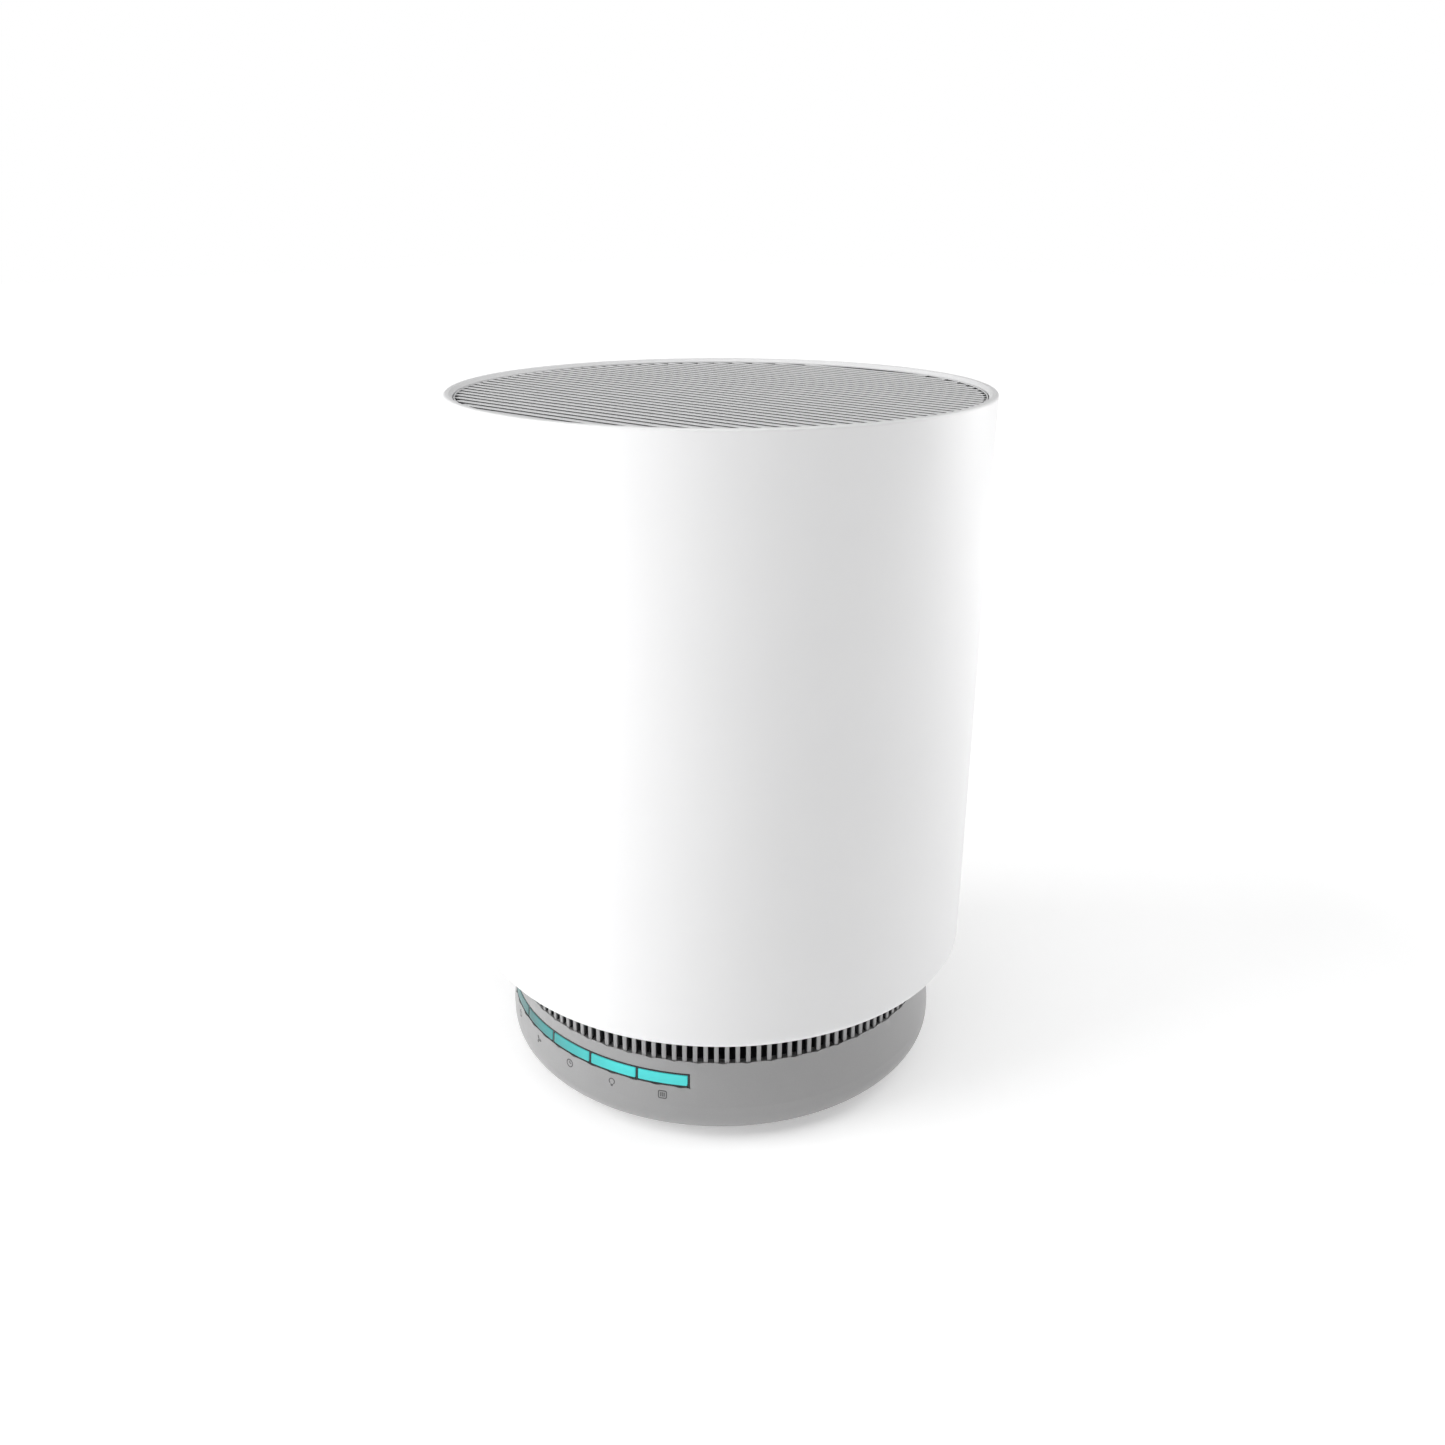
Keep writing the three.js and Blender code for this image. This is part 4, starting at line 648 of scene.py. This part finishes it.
def top_grille():
    """A ring with eased edges, crossed by straight slats with rounded tops, and below them one rib and three
    hooks."""
    inner = GRILLE_RADIUS - GRILLE_RING_WIDTH
    bottom = GRILLE_TOP - GRILLE_RING_HEIGHT
    lip = GRILLE_RADIUS - GRILLE_LIP
    slat_top = GRILLE_TOP - SLAT_SETBACK
    ring = rounded([
        (inner, bottom, EASED),
        (GRILLE_RADIUS, bottom, EASED),
        (GRILLE_RADIUS, GRILLE_TOP, 0.4 * MM),
        (lip, GRILLE_TOP, EASED),
        (lip, slat_top - GRILLE_STEP, 0.2 * MM),
        (inner, slat_top - GRILLE_STEP, EASED),
    ])
    middle = lip + GRILLE_LIP / 2
    count = math.floor((lip - SLAT_WIDTH) / SLAT_PITCH)
    section = rounded([
        (-SLAT_WIDTH / 2, slat_top - SLAT_HEIGHT, 0.2 * MM),
        (SLAT_WIDTH / 2, slat_top - SLAT_HEIGHT, 0.2 * MM),
        (SLAT_WIDTH / 2, slat_top, SLAT_ROUND),
        (-SLAT_WIDTH / 2, slat_top, SLAT_ROUND),
    ], 3)
    slats = []
    for i in range(-count, count + 1):
        y = i * SLAT_PITCH
        reach = math.sqrt(middle**2 - (abs(y) + SLAT_WIDTH / 2) ** 2)
        ends = [np.column_stack([np.full(len(section), x), section[:, 0] + y, section[:, 1]])
                for x in (-reach, reach)]
        slats.append(lofted(ends))
    rib_top = slat_top - SLAT_HEIGHT + LAP
    rib = rounded([
        (-SLAT_WIDTH / 2, bottom + LAP, EASED),
        (SLAT_WIDTH / 2, bottom + LAP, EASED),
        (SLAT_WIDTH / 2, rib_top, 0),
        (-SLAT_WIDTH / 2, rib_top, 0),
    ])
    rib = lofted([np.column_stack([rib[:, 0], np.full(len(rib), y), rib[:, 1]]) for y in (-middle, middle)])
    stem_outer = RIM_RADIUS - RIM_SHOULDER - LEDGE_WIDTH - GAP
    tip = stem_outer + GAP + LEDGE_WIDTH - LUG_SETBACK
    lug_bottom, lug_top = grille_low.z, grille_low.z + LUG_THICKNESS
    hook = rounded([
        (stem_outer - LUG_STEM, lug_bottom, EASED),
        (tip, lug_bottom, 0.5 * MM),
        (tip, lug_top, EASED),
        (stem_outer, lug_top, 0),
        (stem_outer, bottom + LAP, 0),
        (stem_outer - LUG_STEM, bottom + LAP, 0),
    ])
    hooks = [revolved(hook, 10, 360 / LUG_COUNT * i - LUG_LAG - LUG_SPAN / 2, LUG_SPAN)
             for i in range(LUG_COUNT)]
    piece("slatted_grille", [revolved(ring), *slats, rib, *hooks], FINISHES["grey_grille"], "grille",
          stands_for=["top_grille"])


# ---------------------------------------------------------------- base

def base_wall_radius(height):
    """The flared wall's outer radius: it widens evenly from the sill down to its widest height."""
    return base_top_radius + BASE_FLARE * (SILL - height) / (SILL - BASE_FLARE_HEIGHT)


def base_housing():
    """A cup whose wall flares, turns under in a quarter circle and slopes to a flat underside. It has a window
    for the keys and one for the inlet. Bars stand on its sill, and four pillars inside take the long screws."""
    centre = (BASE_RADIUS - BASE_CORNER, UNDERSIDE + UNDERSIDE_DROP + BASE_CORNER)
    inlet_dip = math.degrees(math.asin((centre[1] - INLET_BOTTOM + GAP) / BASE_CORNER))
    heights = np.array([SILL, STRIP_TOP, INLET_TOP + GAP, STRIP_BOTTOM])
    upper = np.stack([base_wall_radius(heights), heights], -1)
    arc = np.radians(-np.concatenate([[0, inlet_dip], np.linspace(12, 90, 12)]))
    cover_radius = cover_high.x + GAP

    def profile(inset):
        wall = upper - [inset, 0]
        corner = np.stack([centre[0] + (BASE_CORNER - inset) * np.cos(arc),
                           centre[1] + (BASE_CORNER - inset) * np.sin(arc)], -1)
        widest = [[BASE_RADIUS - inset, BASE_FLARE_HEIGHT]]
        floor = [[centre[0] - UNDERSIDE_BEVEL, UNDERSIDE + inset], [cover_radius, UNDERSIDE + inset]]
        return np.concatenate([wall, widest, corner, floor])

    half = STRIP_SPAN / 2
    inlet_half = math.degrees(math.asin((INLET_HALF_WIDTH + GAP) / BASE_RADIUS))
    marks = np.array([FRONT - half, FRONT + half, 90 - inlet_half, 90 + inlet_half]) % 360
    columns = np.linspace(0, 360, 240, endpoint=False)
    columns = columns[np.abs(columns[:, None] - marks).min(1) > 0.5]
    columns = np.sort(np.concatenate([columns, marks]))
    wall = pierced_wall(profile(0), profile(BASE_WALL), columns, [
        (FRONT - half, FRONT + half, STRIP_TOP, STRIP_BOTTOM),
        (90 - inlet_half, 90 + inlet_half, INLET_TOP + GAP, INLET_BOTTOM - GAP),
    ])
    seat_bottom, seat_top = cover_high.z + GAP, cover_high.z + GAP + BASE_WALL
    seat = revolved(rounded([
        (cover_high.x - COVER_LAP, seat_bottom, EASED),
        (cover_radius + BASE_WALL, seat_bottom, 0),
        (cover_radius + BASE_WALL, seat_top, EASED),
        (cover_high.x - COVER_LAP, seat_top, EASED),
    ]), 120)
    bar_width = 2 * math.pi * base_top_radius / SLOT_COUNT - SLOT_WIDTH
    angles = 360 / SLOT_COUNT * np.arange(SLOT_COUNT)

    def ring_of_bars(depth, width, radius, round_off):
        section = box_outline(depth, width, round_off, 2) + [radius - depth / 2, 0]
        return copied_round(prism(section, SILL - LAP, base_high.z), angles)

    bar_radius = base_top_radius - BAR_SETBACK
    bars = ring_of_bars(BAR_FACE, bar_width, bar_radius, 0.15 * MM)
    backs = ring_of_bars(BAR_DEPTH - BAR_FACE, bar_width - 0.1 * MM, bar_radius - BAR_FACE, 0.1 * MM)
    pillar = prism(circle(PILLAR_RADIUS, 32), UNDERSIDE + BASE_WALL / 2, base_high.z, EASED)
    pillars = [turned_to(pillar, a, (PILLAR_CIRCLE, 0, 0)) for a in PILLAR_ANGLES]
    piece("base_cup", [wall, seat, *pillars], FINISHES["silver_base"], stands_for=["base_housing"],
          edge=0.22 * MM, sharp=50)
    piece("slot_bars", [bars], FINISHES["silver_base"])
    piece("slot_bar_backs", [backs], FINISHES["dark_plastic"])


def feet():
    """Rubber feet: a low drum with a rounded tread and a shallow dimple in its middle."""
    dimple, dimple_side = 0.35 * MM, 0.3 * MM
    for i in range(4):
        name = f"foot_{i + 1}"
        low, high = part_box(name)
        x, y, radius = (low.x + high.x) / 2, (low.y + high.y) / 2, (high.x - low.x) / 2
        points, faces = revolved(rounded([
            (0, dimple, 0),
            (radius * 0.45, dimple_side, 0.4 * MM),
            (radius * 0.6, 0, 0.5 * MM),
            (radius, 0, 0.6 * MM),
            (radius, high.z, 0.2 * MM),
            (0, high.z, 0),
        ]), 48)
        piece(f"rubber_{name}", [(points + [x, y, 0], faces)], FINISHES["rubber_foot"], stands_for=[name])


def screw(name, up):
    """A pan-head screw: a domed head with a cross recess, and a threaded shank whose radius rises and falls
    with the sum of its angle and its height, so that the crest winds round it."""
    low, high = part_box(name)
    x, y = (low.x + high.x) / 2, (low.y + high.y) / 2
    head, length = (high.x - low.x) / 2, high.z - low.z
    thickness, doming, tip = 1.1 * MM, 0.45 * MM, 1 * MM
    arm, reach, recess = 0.38 * MM, head * 0.62, 0.7 * MM
    shank, thread_depth, pitch = 1.25 * MM, 0.28 * MM, 0.8 * MM
    spread, turn = np.linspace(0, 1, 22)[:, None], np.radians(np.arange(0, 360, 7.5))[None]
    px, py = head * spread * np.cos(turn), head * spread * np.sin(turn)
    cross = np.minimum(np.abs(px), np.abs(py)) < arm
    cross &= np.maximum(np.abs(px), np.abs(py)) < reach
    face = np.stack([px, py, doming * spread**2 + np.where(cross, recess, 0)], -1)
    level = np.arange(thickness, length - tip, pitch / 6)[:, None]
    thread = shank - thread_depth * (0.5 + 0.5 * np.cos(turn + 2 * np.pi * level / pitch))
    shaft = np.stack([thread * np.cos(turn), thread * np.sin(turn), level + 0 * turn], -1)
    under_head = np.stack([px[-1], py[-1], np.full(px.shape[1], thickness)], -1)
    point = np.tile([0, 0, length], (px.shape[1], 1))
    points, faces = lofted([*face, under_head, *shaft, point])
    points = points + [x, y, low.z] if up else points * [1, -1, -1] + [x, y, high.z]
    piece(f"{name}_threaded", [(points, faces)], FINISHES["steel"], stands_for=[name])


# ---------------------------------------------------------------- keys

key_pitch = STRIP_SPAN / KEY_COUNT
strip_middle = (STRIP_BOTTOM + STRIP_TOP) / 2
key_radius = base_wall_radius(strip_middle)


def key_angle(i):
    return FRONT - STRIP_SPAN / 2 + key_pitch * (i + 0.5)


def as_degrees(length):
    return math.degrees(length / key_radius)


def on_wall(across, height, out, angle):
    """Points given by their way along the wall, their height and how far they stand out of it, at an angle."""
    return polar(base_wall_radius(height) + out, angle + np.degrees(across / key_radius), height)


def key_opening(i):
    """The angles between which a key's opening lies: the first and last ones are narrowed by their end walls."""
    end = as_degrees(BEZEL_DIVIDER / 2)
    half = key_pitch / 2 - end
    return key_angle(i) - half + end * (i == 0), key_angle(i) + half - end * (i == KEY_COUNT - 1)


def button_bezel():
    """A curved black frame, pierced by the five openings, on a flange that laps the inside of the wall."""
    half = STRIP_SPAN / 2 - as_degrees(BEZEL_GAP)
    bottom, top = STRIP_BOTTOM + BEZEL_GAP, STRIP_TOP - BEZEL_GAP
    openings = [key_opening(i) for i in range(KEY_COUNT)]
    flange_outer = base_top_radius - BASE_WALL - GAP
    holes = [(a, b, top - BEZEL_RAIL, bottom + BEZEL_RAIL) for a, b in openings]

    def frame_of(lap, outer, inner, low, high):
        marks = np.array([m for pair in openings for m in pair] + [FRONT - half - lap, FRONT + half + lap])
        columns = np.linspace(FRONT - half - lap, FRONT + half + lap, 90)
        columns = columns[np.abs(columns[:, None] - marks).min(1) > 0.2]
        columns = np.sort(np.concatenate([columns, marks]))
        rows = np.array([high, top - BEZEL_RAIL, bottom + BEZEL_RAIL, low])
        return pierced_wall(np.stack([outer(rows), rows], -1), np.stack([np.full(4, inner), rows], -1),
                            columns, holes, False)

    face = frame_of(0, lambda z: base_wall_radius(z) - BEZEL_SETBACK, flange_outer - LAP, bottom, top)
    back = frame_of(as_degrees(BEZEL_SIDE_LAP), lambda z: np.full(len(z), flange_outer),
                    flange_outer - BEZEL_FLANGE, bezel_low.z, bezel_high.z)
    piece("key_frame", [face, back], FINISHES["black_trim"], stands_for=["button_bezel"],
          edge=0.06 * MM, sharp=50)


def key(i):
    """A curved lens: rings of a rounded outline shrink towards the middle of its slightly crowned face, and on
    its back are the flange and the stem that meets the switch."""
    start, end = key_opening(i)
    start, end = start + as_degrees(KEY_GAP), end - as_degrees(KEY_GAP)
    middle, width = (start + end) / 2, math.radians(end - start) * key_radius
    height = STRIP_TOP - STRIP_BOTTOM - 2 * (BEZEL_GAP + BEZEL_RAIL + KEY_GAP)
    w, h = width / 2, height / 2
    corners = box_outline(width, height, KEY_CORNER, 3)
    along = (w - KEY_CORNER) * (2 * np.linspace(0, 1, 13)[1:-1] - 1)
    low_edge = np.stack([along, np.full(len(along), -h)], -1)
    outline = np.concatenate([corners[:4], low_edge, corners[4:12], -low_edge, corners[12:]])
    rings = [(outline * share, -KEY_CROWN * share**2) for share in (0.02, 0.3, 0.55, 0.75, 0.88)]
    for inset, drop in ((KEY_EDGE, KEY_CROWN), (KEY_EDGE * 0.3, 0.05 * MM), (0, KEY_EDGE), (0, KEY_DEPTH)):
        rings.append((outline * [1 - inset / w, 1 - inset / h], -drop))
    lens = lofted([on_wall(flat[:, 0], flat[:, 1] + strip_middle, out, middle) for flat, out in rings])
    flange_outer = base_top_radius - BASE_WALL - 2 * GAP - BEZEL_FLANGE
    flange = box_outline(KEY_FLANGE, 2 * (h + KEY_FLANGE_LAP), 0.2 * MM, 4)
    flange = revolved(flange + [flange_outer - KEY_FLANGE / 2, strip_middle], 16, start, end - start)
    stem = laid_over(prism(box_outline(KEY_STEM, KEY_STEM, 0.4 * MM), 0, 4 * MM, 0.2 * MM),
                     [[0, 1, 0], [0, 0, 1], [1, 0, 0]], (flange_outer - KEY_STEM_REACH, 0, strip_middle))
    piece(f"lit_key_{i + 1}", [lens, flange, turned_to(stem, key_angle(i))], FINISHES["lit_key"],
          f"key_{i + 1}", stands_for=[f"button_{i + 1}"])


def ribbon(path, closed=False):
    """A flat line of even width: each point of the path is offset to both sides, across the path's direction."""
    path = np.asarray(path, float) * MM
    if closed:
        along = np.roll(path, -1, 0) - np.roll(path, 1, 0)
    else:
        along = np.gradient(path, axis=0)
    along /= np.linalg.norm(along, axis=1)[:, None]
    side = np.stack([-along[:, 1], along[:, 0]], -1) * ICON_LINE / 2
    left, right = path + side, path - side
    return [(left, INK_RAISE), (right, INK_RAISE), (right, -INK_RAISE), (left, -INK_RAISE)], closed


def printed(ribbons, angle):
    """Ribbons laid on the wall at an angle."""
    made = []
    for section, closed in ribbons:
        rings = np.stack([on_wall(flat[:, 0], flat[:, 1] + ICON_HEIGHT, out, angle)
                          for flat, out in section], 1)
        if closed:
            made.append((rings.reshape(-1, 3), [grid_faces(len(rings), len(section), True, True)]))
        else:
            made.append(lofted(rings))
    return made


def arc_path(radius, start, end, centre=(0, 0), count=25):
    """Points evenly along an arc, in millimetres and degrees."""
    angles = np.radians(np.linspace(start, end, count))
    return np.stack([centre[0] + radius * np.cos(angles), centre[1] + radius * np.sin(angles)], -1)


def ring_path(radius):
    return arc_path(radius, 0, 360, count=29)[:-1]


def petal_path(angle):
    """A fan blade: a leaf whose radius from the hub is the sine of half its own turn."""
    t = np.linspace(0, 1, 24, endpoint=False)
    reach = 1.45 * np.sin(np.pi * t)
    turn = np.radians(angle + 62 * t)
    return np.stack([reach * np.cos(turn), reach * np.sin(turn)], -1)


def key_signs():
    """Five plain signs under the keys: power, fan, timer, lamp and filter."""
    power = [ribbon(arc_path(1.25, 125, 415)), ribbon([(0, 0.3), (0, 1), (0, 1.7)])]
    fan = [ribbon(petal_path(a)[1:]) for a in (90, 210, 330)]
    timer = [ribbon(ring_path(1.4), True), ribbon([(0, 0.9), (0, 0.4), (0, 0)]),
             ribbon([(0, 0), (0.35, 0), (0.75, 0)])]
    lamp = [ribbon(arc_path(1.05, -55, 235, (0, 0.35))), ribbon([(-0.55, -0.95), (0, -0.95), (0.55, -0.95)]),
            ribbon([(-0.35, -1.4), (0, -1.4), (0.35, -1.4)])]
    grate = [ribbon(box_outline(2.8, 2.8, 0.5, 4), True),
             *[ribbon([(x, -0.8), (x, 0), (x, 0.8)]) for x in (-0.6, 0, 0.6)]]
    for i, sign in enumerate([power, fan, timer, lamp, grate]):
        piece(f"key_sign_{i + 1}", printed(sign, key_angle(i)), FINISHES["printed_sign"])


# ---------------------------------------------------------------- inlet

def inlet_socket():
    """A cup whose mouth has a rounded rim, with a raised collar round the bore in its floor."""
    low, high = socket_low, socket_high
    middle = (low.z + high.z) / 2
    width, height = high.x - low.x, high.z - low.z
    floor, lead_in = high.y - INLET_DEPTH, 0.4 * MM
    outer = box_outline(width, height, 1.6 * MM, 5)
    inner = box_outline(width - 2 * INLET_WALL, height - 2 * INLET_WALL, 1.1 * MM, 5)
    rings = [(outer, low.y), (outer, high.y - lead_in), (outer * 0.985, high.y), (inner * 1.02, high.y),
             (inner, high.y - lead_in), (inner, floor)]
    cup = lofted([np.stack([ring[:, 0], np.full(len(ring), y), ring[:, 1] + middle], -1)
                  for ring, y in rings])

    def facing_out(surface, y):
        return laid_over(surface, [[1, 0, 0], [0, 0, -1], [0, 1, 0]], (0, y, middle))

    collar = revolved(rounded([(INLET_BORE, 0, 0), (INLET_COLLAR, 0, 0), (INLET_COLLAR, 0.6 * MM, 0.25 * MM),
                               (INLET_BORE, 0.6 * MM, 0.25 * MM)]), 48)
    centre, thickness = 0.01 * MM, 0.1 * MM
    well = revolved([(centre, 0), (INLET_BORE, 0), (INLET_BORE, thickness), (centre, thickness)], 48)
    pin_low, pin_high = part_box("inlet_pin")
    radius, length = (pin_high.x - pin_low.x) / 2, pin_high.y - pin_low.y + 1 * MM
    pin = revolved(rounded([(0, 0, 0), (radius, 0, 0), (radius, length, 0.7 * MM), (0, length, 0)]), 32)
    piece("inlet_cup", [cup, facing_out(collar, floor)], FINISHES["black_trim"], stands_for=["inlet_socket"])
    piece("inlet_contact", [facing_out(well, floor)], FINISHES["dark_plastic"])
    piece("inlet_centre_pin", [facing_out(pin, pin_low.y)], FINISHES["steel"], stands_for=["inlet_pin"])


# ---------------------------------------------------------------- camera, light and floor

CAMERA_AZIMUTH = 41.5  # degrees towards +X from straight in front
CAMERA_DISTANCE = 0.45075  # from the axis, on the level
CAMERA_HEIGHT = 0.30007
CAMERA_PITCH = 21.307  # degrees below level
LENS = 32.74
SENSOR = 36
SIDE_SHIFT = 0.0012

SURROUND = 0.1  # strength of the white surround as a light; the camera sees it at full white
FLOOR_GLOW = 0.32
FAR_GLOW = 0.65  # further glow of the floor far from the object
GLOW_START = 0.3  # metres from the axis
GLOW_RISE = 1.2  # per metre
FLOOR_REACH = 6.0
LIGHTS = [  # name, azimuth, elevation, distance, width, height, power
    ("left_light", CAMERA_AZIMUTH - 75, 22, 1.2, 0.9, 1.1, 13.4),
    ("edge_light", CAMERA_AZIMUTH + 110, 22, 1.2, 0.9, 1.1, 7.4),
    ("top_light", CAMERA_AZIMUTH, 80, 1.2, 1.0, 1.0, 6),
]


def camera():
    data = bpy.data.cameras.new("camera")
    data.lens, data.sensor_width, data.shift_x = LENS, SENSOR, SIDE_SHIFT
    made = bpy.data.objects.new("camera", data)
    a = math.radians(CAMERA_AZIMUTH)
    made.location = (CAMERA_DISTANCE * math.sin(a), -CAMERA_DISTANCE * math.cos(a), CAMERA_HEIGHT)
    made.rotation_euler = (math.radians(90 - CAMERA_PITCH), 0, a)
    bpy.context.scene.collection.objects.link(made)
    bpy.context.scene.camera = made


def soft_light(name, azimuth, elevation, distance, width, height, power):
    """A soft box that looks at the middle of the object; azimuth is measured like the camera's."""
    data = bpy.data.lights.new(name, "AREA")
    data.shape, data.size, data.size_y, data.energy = "RECTANGLE", width, height, power
    made = bpy.data.objects.new(name, data)
    a, e = math.radians(azimuth), math.radians(elevation)
    back = np.array([math.sin(a) * math.cos(e), -math.cos(a) * math.cos(e), math.sin(e)])
    made.location = back * distance + [0, 0, HEIGHT / 2]
    made.rotation_euler = (math.pi / 2 - e, 0, a)
    bpy.context.scene.collection.objects.link(made)


def surround():
    """A white surround that the camera sees at full strength and that lights the object only faintly."""
    world = bpy.data.worlds.new("surround")
    bpy.context.scene.world = world
    world.use_nodes = True
    tree = world.node_tree
    tree.nodes.remove(next(n for n in tree.nodes if n.type == "BACKGROUND"))
    sky = Nodes(tree)
    seen, lighting = (sky.node("ShaderNodeBackground", None, {"Color": (1, 1, 1, 1), "Strength": strength})
                      for strength in (1.0, SURROUND))
    camera_ray = sky.node("ShaderNodeLightPath", out="Is Camera Ray")
    out = next(n for n in tree.nodes if n.type == "OUTPUT_WORLD")
    shown = sky.node("ShaderNodeMixShader", None, {0: camera_ray, 1: lighting, 2: seen})
    sky.feed(out.inputs["Surface"], shown)


def pale_floor():
    """A flat square whose glow grows with the distance from its middle, so that it melts into the surround."""
    paint = Paint("pale_floor", Roughness=0.9, Emission_Strength=1.0)
    paint.wear((0.92, 0.92, 0.92), (0.94, 0.94, 0.94), paint.noise(0.3))
    far = paint.node("ShaderNodeVectorMath", {"operation": "LENGTH"}, {0: paint.place()}, out="Value")
    glow = paint.clamped((far - GLOW_START) * GLOW_RISE) * FAR_GLOW + FLOOR_GLOW
    paint.feed(paint.shader.inputs["Emission Color"], glow)
    mesh = bpy.data.meshes.new("floor")
    mesh.from_pydata([(x * FLOOR_REACH, y * FLOOR_REACH, 0) for x, y in ((-1, -1), (1, -1), (1, 1), (-1, 1))],
                     [], [(0, 1, 2, 3)])
    mesh.materials.append(paint.material)
    floor = bpy.data.objects.new("floor", mesh)
    bpy.context.scene.collection.objects.link(floor)


def studio():
    """A pale floor, a white surround, a broad light from the left, a smaller one from the right and one above."""
    bpy.context.scene.view_settings.view_transform = "Standard"
    surround()
    pale_floor()
    for light in LIGHTS:
        soft_light(*light)


# ---------------------------------------------------------------- assembly

camera()
finish_cad_nodes()
outer_shell()
top_grille()
base_housing()
feet()
for number in range(1, 5):
    screw(f"cover_screw_{number}", True)
    screw(f"frame_screw_{number}", False)
button_bezel()
for number in range(KEY_COUNT):
    key(number)
key_signs()
inlet_socket()
studio()
